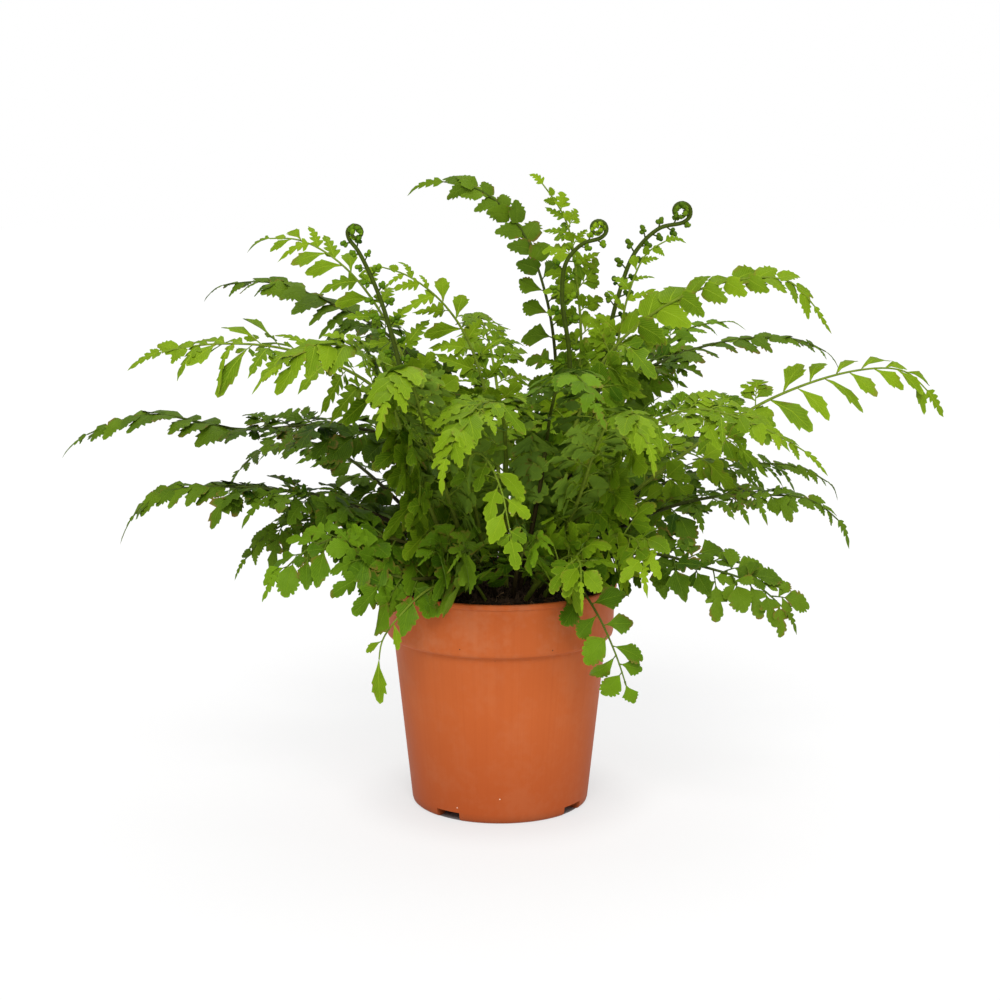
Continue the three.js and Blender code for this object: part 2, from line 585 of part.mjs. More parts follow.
// A pinna alone, a little larger all round, as a body to test against its neighbours.
function testBody(form, rootWidth) {
  const skin = new Skin();
  const grown = { ...form, rib: form.rib + test.rib, length: form.length * test.length };
  const root = [1, -1].map((side) =>
    [1, -1].map((level) =>
      skin.corner(
        form.origin
          .clone()
          .addScaledVector(form.rear, side * (rootWidth / 2 + gap))
          .addScaledVector(form.up, level * (stipe.width / 2 + gap)),
      ),
    ),
  );
  addBlade(skin, root, grown);
  skin.face(root[0][1], root[0][0], root[1][0], form.turnedOver);
  skin.face(root[0][1], root[1][0], root[1][1], form.turnedOver);
  return skin.geometry();
}

// Everything placed so far, which each new pinna is kept clear of.
const placed = [];

function place(geometry, rachis = null) {
  geometry.computeBoundingBox();
  placed.push({ box: geometry.boundingBox, solid: toSolid(geometry), rachis });
}

// Whether a pinna of a rachis meets nothing but that rachis.
function isClear(geometry, own) {
  geometry.computeBoundingBox();
  const reach = geometry.boundingBox;
  const near = placed.filter(({ box, rachis }) => rachis !== own && box.intersectsBox(reach));
  if (!near.length) return true;
  const solid = toSolid(geometry);
  return near.every((other) => solid.intersect(other.solid).isEmpty());
}

// The bends that a pinna tries, from none to strong, before it gives up.
const bends = [];
for (const scale of [1, 0.82, 0.66]) {
  for (const swing of [0, -14, 16]) {
    for (const lift of [0, 14, -14, 28, -28, 44, -42]) bends.push({ scale, swing, lift });
  }
}

function settlePinna(rachis, plan) {
  for (const bend of bends) {
    const form = pinnaForm(rachis, plan, bend);
    const body = testBody(form, plan.rootSpan * rachis.length);
    if (isClear(body, rachis)) {
      place(body);
      return { plan, form };
    }
  }
  return { plan, form: null };
}

// ---- assembly ----

const group = new THREE.Group();
const potSolid = makePot();
let soilSolid = makeSoil();
let crownSolid = makeCrown();

const rachises = fronds.map((frond) => new Rachis(frond));
rachises.forEach((rachis) => {
  const hole = toSolid(stipeHole(rachis));
  crownSolid = crownSolid.subtract(hole);
  soilSolid = soilSolid.subtract(hole);
});

[potSolid, soilSolid, crownSolid].forEach((solid) => place(toGeometry(solid)));
const plans = fronds.map((frond, i) => planPinnae(frond, i, rachises[i]).map((plan) => ({ plan })));
rachises.forEach((rachis, i) => {
  place(frondSkin(rachis, plans[i], tipForm(fronds[i], rachis), gap / 2), rachis);
});

group.add(toMesh('pot', potSolid, looks.pot));
group.add(toMesh('soil', soilSolid, looks.soil));
group.add(toMesh('crown', crownSolid, looks.crown));
fronds.forEach((frond, i) => {
  const rachis = rachises[i];
  const pinnae = plans[i].map(({ plan }) => settlePinna(rachis, plan));
  const skin = frondSkin(rachis, pinnae, tipForm(frond, rachis));
  group.add(toMesh(frond.name, toSolid(skin), looks[frond.tone]));
});

export default group;
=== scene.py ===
# A potted fern: a bushy spleenwort in a plastic nursery pot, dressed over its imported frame.
# Metres, +Z up, the front towards -Y. What a user may change stands in a dictionary beside each piece.
import json
import math
import random
import bpy
import bmesh
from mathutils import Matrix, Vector, noise

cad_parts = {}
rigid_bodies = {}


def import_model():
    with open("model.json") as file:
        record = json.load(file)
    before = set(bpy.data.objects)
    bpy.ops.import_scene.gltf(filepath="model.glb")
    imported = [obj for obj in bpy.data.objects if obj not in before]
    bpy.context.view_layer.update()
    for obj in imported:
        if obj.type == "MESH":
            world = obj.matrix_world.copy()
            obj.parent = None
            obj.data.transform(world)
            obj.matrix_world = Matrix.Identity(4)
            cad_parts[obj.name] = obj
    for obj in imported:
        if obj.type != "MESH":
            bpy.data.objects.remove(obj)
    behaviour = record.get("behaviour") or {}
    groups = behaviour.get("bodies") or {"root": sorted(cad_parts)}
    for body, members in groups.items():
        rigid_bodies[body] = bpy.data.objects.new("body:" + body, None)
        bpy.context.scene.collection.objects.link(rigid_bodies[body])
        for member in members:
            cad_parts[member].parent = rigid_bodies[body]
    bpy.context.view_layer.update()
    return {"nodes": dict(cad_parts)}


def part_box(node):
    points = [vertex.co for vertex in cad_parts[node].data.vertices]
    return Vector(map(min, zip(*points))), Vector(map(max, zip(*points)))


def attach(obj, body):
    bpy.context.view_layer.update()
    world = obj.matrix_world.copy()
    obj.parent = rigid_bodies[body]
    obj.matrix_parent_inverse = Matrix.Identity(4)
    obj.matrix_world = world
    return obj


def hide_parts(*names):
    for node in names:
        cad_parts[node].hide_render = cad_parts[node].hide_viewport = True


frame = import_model()
mm = 0.001
fullTurn = 6.283  # radians
print("frame loaded:", len(frame["nodes"]), "nodes")


# An output of a node. Plain arithmetic on it adds math nodes to its tree.
class Flow:
    def __init__(self, socket):
        self.socket = socket
        self.tree = socket.id_data

    def __add__(self, other):
        return calc("ADD", self, other)

    def __radd__(self, other):
        return calc("ADD", other, self)

    def __sub__(self, other):
        return calc("SUBTRACT", self, other)

    def __rsub__(self, other):
        return calc("SUBTRACT", other, self)

    def __mul__(self, other):
        return calc("MULTIPLY", self, other)

    def __truediv__(self, other):
        return calc("DIVIDE", self, other)

    def __mod__(self, other):
        return calc("MODULO", self, other)

    def __gt__(self, other):
        return calc("GREATER_THAN", self, other)

    def __lt__(self, other):
        return calc("LESS_THAN", self, other)


# Adds a node with its inputs and settings. Its outputs come back by name and by number.
def addNode(tree, kind, values=None, **settings):
    made = tree.nodes.new(kind)
    for name, value in settings.items():
        setattr(made, name, value)
    for key, value in (values or {}).items():
        if isinstance(value, Flow):
            tree.links.new(value.socket, made.inputs[key])
        else:
            made.inputs[key].default_value = value
    flows = [Flow(socket) for socket in made.outputs]
    byName = {flow.socket.name: flow for flow in reversed(flows)}
    return byName | dict(enumerate(flows))


def treeOf(values):
    return next(value.tree for value in values if isinstance(value, Flow))


def calc(operation, *values):
    return addNode(treeOf(values), "ShaderNodeMath", dict(enumerate(values)), operation=operation)[0]


def vector(operation, *values):
    made = addNode(treeOf(values), "ShaderNodeVectorMath", dict(enumerate(values)), operation=operation)
    return made["Vector"]


def clamped(value):
    value.socket.node.use_clamp = True
    return value


def scaled(value, factor):
    return addNode(value.tree, "ShaderNodeVectorMath", {0: value, 3: factor}, operation="SCALE")["Vector"]


def combined(*axes):
    return addNode(treeOf(axes), "ShaderNodeCombineXYZ", dict(enumerate(axes)))[0]


def separated(value):
    axes = addNode(value.tree, "ShaderNodeSeparateXYZ", {0: value})
    return axes[0], axes[1], axes[2]


def lerp(share, start, end):
    return addNode(share.tree, "ShaderNodeMapRange", {0: share, 3: start, 4: end})[0]


# 0 below an edge and 1 above it, with a soft step of the given half width.
def step(value, edge, width):
    return addNode(value.tree, "ShaderNodeMapRange", {0: value, 1: edge - width, 2: edge + width})[0]


def noisy(place, scale, detail):
    return addNode(place.tree, "ShaderNodeTexNoise", {"Vector": place, "Scale": scale, "Detail": detail})


def draw(low, high, seed):
    return addNode(seed.tree, "FunctionNodeRandomValue", {2: low, 3: high, 8: seed}, data_type="FLOAT")[1]


def anyIndex(seed):
    return addNode(seed.tree, "FunctionNodeRandomValue", {4: 0, 5: 999, 8: seed}, data_type="INT")[2]


def named(tree, name):
    return addNode(tree, "GeometryNodeInputNamedAttribute", {0: name}, data_type="FLOAT")[0]


def turnedTo(along, up):
    return addNode(along.tree, "FunctionNodeAxesToRotation", {0: along, 1: up},
                   primary_axis="Y", secondary_axis="Z")[0]


def stored(geometry, values):
    for name, value in values.items():
        geometry = addNode(geometry.tree, "GeometryNodeStoreNamedAttribute",
                           {0: geometry, 2: name, 3: value}, domain="POINT", data_type="FLOAT")[0]
    return geometry


def tube(curve, radius, sides):
    ring = addNode(curve.tree, "GeometryNodeCurvePrimitiveCircle", {0: sides, 4: 1.0})[0]
    return addNode(curve.tree, "GeometryNodeCurveToMesh", {0: curve, 1: ring, 2: radius, 3: True})[0]


def pointsAt(count, place):
    return addNode(place.tree, "GeometryNodePoints", {0: count, 1: place})[0]


def realised(geometry):
    return addNode(geometry.tree, "GeometryNodeRealizeInstances", {0: geometry})[0]


# Puts a piece of a shelf on each point, the one that its number picks.
def planted(points, pieces, number, size, rotation=(0.0, 0.0, 0.0)):
    picks = addNode(points.tree, "GeometryNodeCollectionInfo", {0: pieces, 1: True, 2: True})[0]
    return addNode(points.tree, "GeometryNodeInstanceOnPoints", {
        "Points": points, "Instance": picks, "Pick Instance": True, "Instance Index": number,
        "Rotation": rotation, "Scale": size})[0]


def moved(geometry, offset):
    return addNode(geometry.tree, "GeometryNodeSetPosition", {"Geometry": geometry, "Offset": offset})[0]


def painted(geometry, material, chosen=True):
    return addNode(geometry.tree, "GeometryNodeSetMaterial", {
        "Geometry": geometry, "Selection": chosen, "Material": material})[0]


def joined(*parts):
    tree = parts[0].tree
    made = addNode(tree, "GeometryNodeJoinGeometry")[0]
    for part in parts:
        tree.links.new(part.socket, made.socket.node.inputs[0])
    return realised(made)


# Starts a tree. An input is given by its default, or by its kind where it has none.
def newTree(name, kind, inputs, outputs):
    tree = bpy.data.node_groups.new(name, kind)
    kinds = {int: "Int", float: "Float", tuple: "Vector"}
    for label, value in inputs.items():
        socket = value if isinstance(value, str) else kinds[type(value)]
        made = tree.interface.new_socket(label, in_out="INPUT", socket_type="NodeSocket" + socket)
        if not isinstance(value, str):
            made.default_value = value
    for label, socket in outputs.items():
        tree.interface.new_socket(label, in_out="OUTPUT", socket_type="NodeSocket" + socket)
    return tree, addNode(tree, "NodeGroupInput")


# Grows a plain mesh from a starting mesh by a geometry tree, with its inputs set by name.
def grown(name, start, tree, values):
    piece = bpy.data.objects.new(name, start)
    bpy.context.scene.collection.objects.link(piece)
    modifier = piece.modifiers.new("grow", "NODES")
    modifier.node_group = tree
    for item in tree.interface.items_tree:
        if item.in_out == "INPUT" and item.name in values:
            modifier[item.identifier] = values[item.name]
    depsgraph = bpy.context.evaluated_depsgraph_get()
    plain = bpy.data.meshes.new_from_object(piece.evaluated_get(depsgraph))
    piece.modifiers.clear()
    piece.data = plain
    plain.name = name
    return piece


# A shelf is a collection of pieces to pick from, cleared once they are used.
def newShelf(name, pieces):
    collection = bpy.data.collections.new(name)
    bpy.context.scene.collection.children.link(collection)
    for piece in pieces:
        for other in list(piece.users_collection):
            other.objects.unlink(piece)
        collection.objects.link(piece)
    return collection


def clearShelf(kept):
    for piece in list(kept.objects):
        bpy.data.objects.remove(piece)
    bpy.data.collections.remove(kept)


# Soft patches at two sizes, as a value from 0 to 1.
def makeMottle():
    tree, given = newTree("mottle", "ShaderNodeTree", {"Scale": 60.0, "Fine": 6.0, "Contrast": 1.0},
                          {"Value": "Float"})
    place = addNode(tree, "ShaderNodeTexCoord")["Object"]
    broad = noisy(place, given["Scale"], 4.0)[0]
    fine = noisy(place, given["Scale"] * given["Fine"], 2.0)[0]
    both = broad * 0.7 + fine * 0.3
    addNode(tree, "NodeGroupOutput", {"Value": clamped((both - 0.5) * given["Contrast"] + 0.5)})
    return tree


mottle = makeMottle()


def mottled(tree, scale, fine, contrast):
    return addNode(tree, "ShaderNodeGroup", {"Scale": scale, "Fine": fine, "Contrast": contrast},
                   node_tree=mottle)["Value"]


def mixed(share, first, second):
    values = {0: share, 6: first, 7: second}
    return addNode(treeOf((share, first)), "ShaderNodeMix", values, data_type="RGBA")[2]


def attribute(tree, name):
    return addNode(tree, "ShaderNodeAttribute", attribute_name=name)["Fac"]


def newMaterial(name, roughness, specular):
    material = bpy.data.materials.new(name)
    material.use_nodes = True
    shader = material.node_tree.nodes["Principled BSDF"]
    shader.inputs["Roughness"].default_value = roughness
    shader.inputs["Specular IOR Level"].default_value = specular
    return material, material.node_tree, shader


# Links a colour, a roughness and a bumped height to a shader. relief: (strength, depth in metres).
def coated(shader, colour, roughness, height, relief):
    tree = colour.tree
    bump = addNode(tree, "ShaderNodeBump", {"Height": height, "Strength": relief[0], "Distance": relief[1]})
    for label, flow in {"Base Color": colour, "Roughness": roughness, "Normal": bump["Normal"]}.items():
        tree.links.new(flow.socket, shader.inputs[label])


# How a leaf's skin is drawn. Shares say how strongly a thing shows, widths are parts of a leaflet's length,
# patches are (scale, how much finer the small ones are, contrast) and steps are (edge, half width).
leafSkin = {
    "pinnaTint": 0.42, "leafletTint": 0.4, "pinnaAgeAndShade": 0.32, "tintShare": 0.9, "patchShare": 0.22,
    "patches": (220.0, 5.0, 1.6), "veins": 9.0, "veinSlant": 1.7, "veinThinness": 7.0, "veinShare": 0.45,
    "veinsEnd": (0.85, 0.1), "midribWidth": 0.022, "midribTaper": 0.014, "midribShare": 0.8,
    "underShare": 0.75, "paleEdge": (0.9, 0.08), "paleShare": 0.35, "brownEdge": (0.8, 0.15),
    "brownPatches": (90.0, 8.0, 5.0), "brownFrom": (0.84, 0.1), "brown": (0.16, 0.09, 0.02, 1),
    "roughness": 0.36, "roughPatches": 0.2, "roughUnder": 0.2, "sunkenLines": -0.6, "raisedPatches": 0.5,
    "specular": 0.13, "specularTint": (0.8, 1.0, 0.4, 1), "relief": (0.6, 0.0005)}


# Leaf colour, gloss and relief. The leaf's own map holds its flat shape, the midrib along u = 0.5;
# margin is 1 on its edge and 0 on its midrib.
def makeLeafPattern():
    skin = leafSkin
    tree, given = newTree("leafPattern", "ShaderNodeTree", {
        "Young": "Color", "Old": "Color", "Vein": "Color", "UnderLitThrough": "Color", "Brown": 0.5},
        {"Color": "Color", "Roughness": "Float", "Height": "Float"})
    u, v, _ = separated(addNode(tree, "ShaderNodeUVMap", uv_map="leafMap")[0])
    off = calc("ABSOLUTE", u - 0.5)
    margin, under = attribute(tree, "margin"), attribute(tree, "under")
    # The lower a pinna sits on its frond, the more it takes the darker colour: partly its age, partly painted
    # shade of the plant's crowded middle.
    tints = [attribute(tree, name) * skin[name] for name in ("pinnaTint", "leafletTint", "pinnaAgeAndShade")]
    tint = tints[0] + tints[1] + tints[2]
    patches = mottled(tree, *skin["patches"])
    shade = clamped(tint * skin["tintShare"] + patches * skin["patchShare"])
    body = mixed(shade, given["Young"], given["Old"])
    # Side veins leave the midrib at a steep angle; the midrib thins towards the tip.
    slant = (v - off * skin["veinSlant"]) * skin["veins"]
    ray = calc("ABSOLUTE", calc("FRACT", slant) - 0.5)
    vein = clamped(1.0 - ray * skin["veinThinness"]) * (1.0 - step(margin, *skin["veinsEnd"]))
    midrib = clamped(1.0 - off / (skin["midribWidth"] - v * skin["midribTaper"]))
    lines = calc("MAXIMUM", vein * skin["veinShare"], midrib * skin["midribShare"])
    body = mixed(lines, body, given["Vein"])
    # Undersides take the paler under colour: partly their own paleness, partly painted light standing in for
    # light shining through the leaf.
    body = mixed(under * skin["underShare"], body, given["UnderLitThrough"])
    body = mixed(step(margin, *skin["paleEdge"]) * skin["paleShare"], body, given["Vein"])
    dry = step(margin, *skin["brownEdge"]) * step(mottled(tree, *skin["brownPatches"]), *skin["brownFrom"])
    body = mixed(dry * given["Brown"], body, skin["brown"])
    rough = patches * skin["roughPatches"] + under * skin["roughUnder"] + skin["roughness"]
    relief = lines * skin["sunkenLines"] + patches * skin["raisedPatches"]
    addNode(tree, "NodeGroupOutput", {"Color": body, "Roughness": rough, "Height": relief})
    return tree


leafPattern = makeLeafPattern()
# Each tone's darker colour is both older leaf and painted shade deep in the plant.
leafLooks = {
    "light": {"Young": (0.235, 0.36, 0.008, 1), "Old": (0.037, 0.1, 0.003, 1),
              "Vein": (0.29, 0.41, 0.02, 1), "UnderLitThrough": (0.165, 0.275, 0.03, 1), "Brown": 0.5},
    "mid": {"Young": (0.165, 0.295, 0.008, 1), "Old": (0.018, 0.062, 0.002, 1),
            "Vein": (0.17, 0.29, 0.014, 1), "UnderLitThrough": (0.115, 0.2, 0.026, 1), "Brown": 0.7},
    "dark": {"Young": (0.145, 0.242, 0.009, 1), "Old": (0.014, 0.046, 0.002, 1),
             "Vein": (0.13, 0.21, 0.012, 1), "UnderLitThrough": (0.088, 0.148, 0.02, 1), "Brown": 0.8},
}


def makeLeafMaterial(tone):
    material, tree, shader = newMaterial("leaf_" + tone, 0.5, leafSkin["specular"])
    shader.inputs["Specular Tint"].default_value = leafSkin["specularTint"]
    skin = addNode(tree, "ShaderNodeGroup", leafLooks[tone], node_tree=leafPattern)
    coated(shader, skin["Color"], skin["Roughness"], skin["Height"], leafSkin["relief"])
    return material


# Stems run from a near black foot to a green tip; a young stem is green all the way.
stemLooks = {
    "light": {"foot": (0.05, 0.03, 0.01, 1), "middle": (0.15, 0.19, 0.02, 1), "tip": (0.2, 0.3, 0.02, 1)},
    "mid": {"foot": (0.025, 0.015, 0.007, 1), "middle": (0.06, 0.05, 0.013, 1), "tip": (0.12, 0.2, 0.012, 1)},
    "dark": {"foot": (0.015, 0.009, 0.005, 1), "middle": (0.025, 0.018, 0.008, 1),
             "tip": (0.07, 0.12, 0.009, 1)},
    "coiled": {"foot": (0.025, 0.02, 0.006, 1), "middle": (0.06, 0.09, 0.006, 1),
               "tip": (0.055, 0.09, 0.004, 1)},
}
stemSkin = {"streaks": (260.0, 4.0, 2.4), "middleFrom": (0.22, 0.16), "tipFrom": (0.62, 0.3),
            "dullShare": 0.45, "dull": (0.02, 0.013, 0.006, 1), "roughness": (0.42, 0.62), "specular": 0.08,
            "relief": (0.3, 0.0003)}


def makeStemMaterial(tone):
    look, skin = stemLooks[tone], stemSkin
    material, tree, shader = newMaterial("stem_" + tone, 0.5, skin["specular"])
    along = attribute(tree, "stemAlong")
    streaks = mottled(tree, *skin["streaks"])
    lower = mixed(step(along, *skin["middleFrom"]), look["foot"], look["middle"])
    body = mixed(step(along, *skin["tipFrom"]), lower, look["tip"])
    dull = mixed(skin["dullShare"], body, skin["dull"])
    coated(shader, mixed(streaks, body, dull), lerp(streaks, *skin["roughness"]), streaks, skin["relief"])
    return material


leafMaterials = {tone: makeLeafMaterial(tone) for tone in leafLooks}
stemMaterials = {tone: makeStemMaterial(tone) for tone in stemLooks}
print("leaf and stem materials ready:", len(leafMaterials) + len(stemMaterials))

# A leaflet's right side from its stalk to its tip, in parts: (rib, teeth, corners). rib: the point of the
# midrib that the part is fanned to. teeth: 0 takes the corners as they are, else so many teeth along them.
# ribs: the midrib's points. root: half the width at the stalk. depth: how far notches go in. blunt: half
# the width of a tooth's tip. A leaflet's length is 1.
leafletLooks = {
    "slip": {"ribs": (0.5,), "parts": (
        (0, 0, ((0.06, 0.2),)), (0, 3, ((0.22, 0.46), (0.27, 0.74), (0.06, 0.99))))},
    "wedge": {"ribs": (0.52,), "parts": (
        (0, 0, ((0.09, 0.2),)), (0, 4, ((0.27, 0.4), (0.42, 0.63), (0.3, 0.88), (0.05, 1.0))))},
    "split": {"ribs": (0.36, 0.7), "parts": (
        (0, 0, ((0.08, 0.18),)), (0, 2, ((0.28, 0.3), (0.46, 0.46), (0.34, 0.62))),
        (0, 0, ((0.13, 0.56),)), (1, 3, ((0.21, 0.66), (0.26, 0.85), (0.05, 1.0))))},
    "rhomb": {"ribs": (0.4, 0.66), "parts": (
        (0, 0, ((0.1, 0.16),)), (0, 0, ((0.26, 0.34),)),
        (1, 4, ((0.37, 0.4), (0.42, 0.55), (0.29, 0.78), (0.05, 1.0))))},
    "spoon": {"ribs": (0.36, 0.66), "blunt": 0.2, "parts": (
        (0, 0, ((0.09, 0.16), (0.21, 0.38))),
        (1, 5, ((0.3, 0.46), (0.38, 0.65), (0.3, 0.86), (0.05, 1.0))))},
    "round": {"ribs": (0.34, 0.62), "blunt": 0.2, "parts": (
        (0, 0, ((0.12, 0.1), (0.3, 0.26))),
        (1, 5, ((0.4, 0.36), (0.45, 0.57), (0.33, 0.84), (0.06, 1.0))))},
    "trefoil": {"ribs": (0.3, 0.68), "blunt": 0.18, "parts": (
        (0, 0, ((0.07, 0.12),)), (0, 2, ((0.24, 0.18), (0.44, 0.36), (0.34, 0.56))),
        (0, 0, ((0.15, 0.5),)), (1, 3, ((0.22, 0.6), (0.27, 0.78), (0.16, 0.94), (0.04, 1.0))))},
    "cleft": {"ribs": (0.22, 0.48, 0.76), "parts": (
        (0, 0, ((0.05, 0.08),)), (0, 2, ((0.2, 0.12), (0.42, 0.24), (0.31, 0.4))),
        (0, 0, ((0.12, 0.37),)), (1, 2, ((0.23, 0.43), (0.37, 0.55), (0.24, 0.67))),
        (1, 0, ((0.12, 0.63),)), (2, 2, ((0.2, 0.71), (0.22, 0.86), (0.04, 1.0))))},
    "longBlade": {"ribs": (0.14, 0.36, 0.58, 0.8), "parts": (
        (0, 0, ((0.06, 0.04), (0.2, 0.13), (0.24, 0.23), (0.09, 0.24))),
        (1, 0, ((0.17, 0.33), (0.2, 0.43), (0.08, 0.44))),
        (2, 0, ((0.14, 0.53), (0.16, 0.63), (0.06, 0.64))),
        (3, 0, ((0.11, 0.73), (0.1, 0.83), (0.04, 0.91))))},
    "ribbon": {"ribs": (0.14, 0.36, 0.58, 0.8), "parts": (
        (0, 0, ((0.04, 0.04), (0.12, 0.14), (0.13, 0.24), (0.05, 0.25))),
        (1, 0, ((0.1, 0.36), (0.11, 0.45), (0.045, 0.46))),
        (2, 0, ((0.08, 0.56), (0.09, 0.65), (0.035, 0.66))), (3, 0, ((0.06, 0.76), (0.05, 0.86))))},
    "wing": {"ribs": (0.2, 0.6), "root": 0.22, "depth": 0.22, "parts": (
        (0, 0, ((0.3, 0.12),)), (1, 4, ((0.36, 0.3), (0.36, 0.56), (0.22, 0.84), (0.04, 1.0))))},
}
leafletBody = {"stalkHalf": 0.017, "thickness": 0.04, "wobble": 0.05, "toothPeak": 0.62, "toothDepth": 0.14,
               "depthRange": (0.8, 1.5), "arch": (0.06, 0.42), "archAcross": 1.4, "fold": (-0.1, 0.5),
               "twist": 0.45, "wave": 0.03, "wavesAlong": 9, "wavesAcross": 5, "waveGrowth": 4}


# A point at a share of the way along a row of corners.
def alongCorners(corners, share):
    spans = [(b - a).length for a, b in zip(corners, corners[1:])]
    left = share * sum(spans)
    for a, b, span in zip(corners, corners[1:], spans):
        if left <= span:
            return a.lerp(b, left / span)
        left -= span
    return corners[-1]


# One side of a leaflet from its stalk to its tip: (rib, point) for each corner of its edge.
def leafletSide(look, chance):
    body, edge = leafletBody, []
    for rib, teeth, corners in look["parts"]:
        corners = [Vector(corner) for corner in corners]
        middle = Vector((0, look["ribs"][rib]))
        if not teeth:
            edge += [(rib, corner * (1 + chance.uniform(-1, 1) * body["wobble"])) for corner in corners]
            continue
        for tooth in range(teeth):
            grow = 1 + chance.uniform(-0.4, 1) * body["wobble"]
            blunt = look.get("blunt", 0)
            for share in (0.5 - blunt, 0.5 + blunt) if blunt else (body["toothPeak"],):
                edge.append((rib, middle.lerp(alongCorners(corners, (tooth + share) / teeth), grow)))
            if tooth < teeth - 1:
                notch = alongCorners(corners, (tooth + 1) / teeth)
                depth = look.get("depth", body["toothDepth"]) * chance.uniform(*body["depthRange"])
                edge.append((rib, notch.lerp(middle, depth)))
    return edge


# Upper and lower faces share the edge and are split alike, each fanned to a midrib of its own.
def leafletMesh(name, look, chance):
    body = leafletBody
    half = look.get("root", body["stalkHalf"])
    last = len(look["ribs"]) - 1
    left = [(rib, Vector((-point.x, point.y))) for rib, point in leafletSide(look, chance)]
    edge = [(0, Vector((half, 0)))] + leafletSide(look, chance) + [(last, Vector((0, 1)))]
    edge += left[::-1] + [(0, Vector((-half, 0)))]
    ribs = [Vector((0, y)) for y in look["ribs"]]
    arch, fold = chance.uniform(*body["arch"]), chance.uniform(*body["fold"])
    twist, phase = chance.uniform(-1, 1) * body["twist"], chance.uniform(0, 6)

    # Folds, arches and waves a flat point, then twists it about the midrib.
    def shaped(point, lift=0.0):
        turn = twist * point.y
        height = fold * abs(point.x) - arch * (point.x ** 2 * body["archAcross"] + point.y ** 2) + lift
        ripple = math.sin(body["wavesAlong"] * point.y + body["wavesAcross"] * point.x + phase)
        height += body["wave"] * ripple * min(1, abs(point.x) * body["waveGrowth"])
        return Vector((point.x * math.cos(turn) - height * math.sin(turn), point.y,
                       height * math.cos(turn) + point.x * math.sin(turn)))

    count, lift = len(edge), body["thickness"] / 2
    vertices = [shaped(point) for _, point in edge]
    vertices += [shaped(point, lift) for point in ribs] + [shaped(point, -lift) for point in ribs]
    upper = [(count - 1, 0, count)]
    for k in range(count - 1):
        here, there = edge[k][0], edge[k + 1][0]
        upper.append((k, k + 1, count + here))
        while here != there:
            onward = here + (1 if there > here else -1)
            upper.append((k + 1, count + onward, count + here))
            here = onward
    lower = [tuple(k + len(ribs) if k >= count else k for k in reversed(face)) for face in upper]
    mesh = bpy.data.meshes.new(name)
    mesh.from_pydata(vertices, [], upper + lower, shade_flat=False)
    for side in mesh.edges:
        first, second = sorted(side.vertices)
        onRim = second - first == 1 or (first == 0 and second == count - 1)
        side.use_edge_sharp = second < count and onRim
    places = [(0.5 + point.x, point.y) for point in [point for _, point in edge] + ribs + ribs]
    leafMap = mesh.uv_layers.new(name="leafMap")
    for loop in mesh.loops:
        leafMap.uv[loop.index].vector = places[loop.vertex_index]
    margin = mesh.attributes.new("margin", "FLOAT", "POINT")
    for k in range(count):
        margin.data[k].value = 1.0
    under = mesh.attributes.new("under", "FLOAT", "FACE")
    for face in mesh.polygons:
        under.data[face.index].value = 0.0 if face.index < len(upper) else 1.0
    return bpy.data.objects.new(name, mesh)


# A leaflet still rolled up: a small hooked knob.
def knobMesh(name, chance):
    mesh = bpy.data.meshes.new(name)
    work = bmesh.new()
    bmesh.ops.create_uvsphere(work, u_segments=7, v_segments=5, radius=1)
    # The sphere's points and faces come in a new order each run, so they are put in one that stays.
    for number, point in enumerate(sorted(work.verts, key=lambda point: tuple(point.co))):
        point.index = number
    work.verts.sort()
    byCorners = sorted(work.faces, key=lambda face: sorted(point.index for point in face.verts))
    for number, face in enumerate(byCorners):
        face.index = number
    work.faces.sort()
    fat = chance.uniform(0.4, 0.5)
    for point in work.verts:
        x, y, z = point.co
        point.co = (x * fat, 0.5 + y * 0.5, z * fat * 1.1 + 0.3 * y * y)
    work.to_mesh(mesh)
    work.free()
    mesh.shade_smooth()
    leafMap = mesh.uv_layers.new(name="leafMap")
    for loop in mesh.loops:
        leafMap.uv[loop.index].vector = (0.9, 0.45)  # plain leaf, clear of the veins
    return bpy.data.objects.new(name, mesh)


# The shelves of leaflets, each with a few shapes.
leafletShelves = {
    "cutLeaflets": ("wedge", "split", "wedge", "slip"),
    "cutEnds": ("split", "wedge", "cleft", "longBlade"),
    "cutTips": ("cleft", "longBlade", "split", "longBlade"),
    "slimEnds": ("longBlade", "ribbon", "longBlade", "slip"),
    "frondEnds": ("longBlade", "ribbon", "longBlade"),
    "fanLeaflets": ("spoon", "rhomb", "spoon", "split"),
    "fanEnds": ("spoon", "round", "spoon", "rhomb"),
    "fanTips": ("trefoil", "spoon", "trefoil", "rhomb"),
    "broadLeaflets": ("rhomb", "round", "trefoil", "spoon"),
    "broadEnds": ("trefoil", "round", "trefoil", "rhomb"),
    "wings": ("wing",),
    "straps": ("slip",),
}
leafletDraws = {"seed": 40, "copies": 3, "knobSeed": 60, "knobs": 4}


# Each shape is drawn anew for each of its copies.
def makeLeaflets():
    draws, shelves = leafletDraws, {}
    for number, (kind, names) in enumerate(leafletShelves.items()):
        chance = random.Random(draws["seed"] + number)
        shelves[kind] = newShelf(kind, [
            leafletMesh(f"{kind}_{k:02d}", leafletLooks[name], chance)
            for k, name in enumerate(names * draws["copies"])])
    chance = random.Random(draws["knobSeed"])
    shelves["knobs"] = newShelf("knobs", [knobMesh(f"knob_{k}", chance) for k in range(draws["knobs"])])
    return shelves


# How unevenly leaflets stand: the ranges of what is added to their swing, of their tip's height and of their
# tilt both ways, in shares of their length, and of their size. lastSwing: how far the last ones open.
pinnaSway = {"swing": (-0.14, 0.14), "tipHeight": (-0.16, 0.26), "tilt": (-0.35, 0.35), "nod": (-0.3, 0.3),
             "size": (0.84, 1.12), "lastSwing": 0.75}


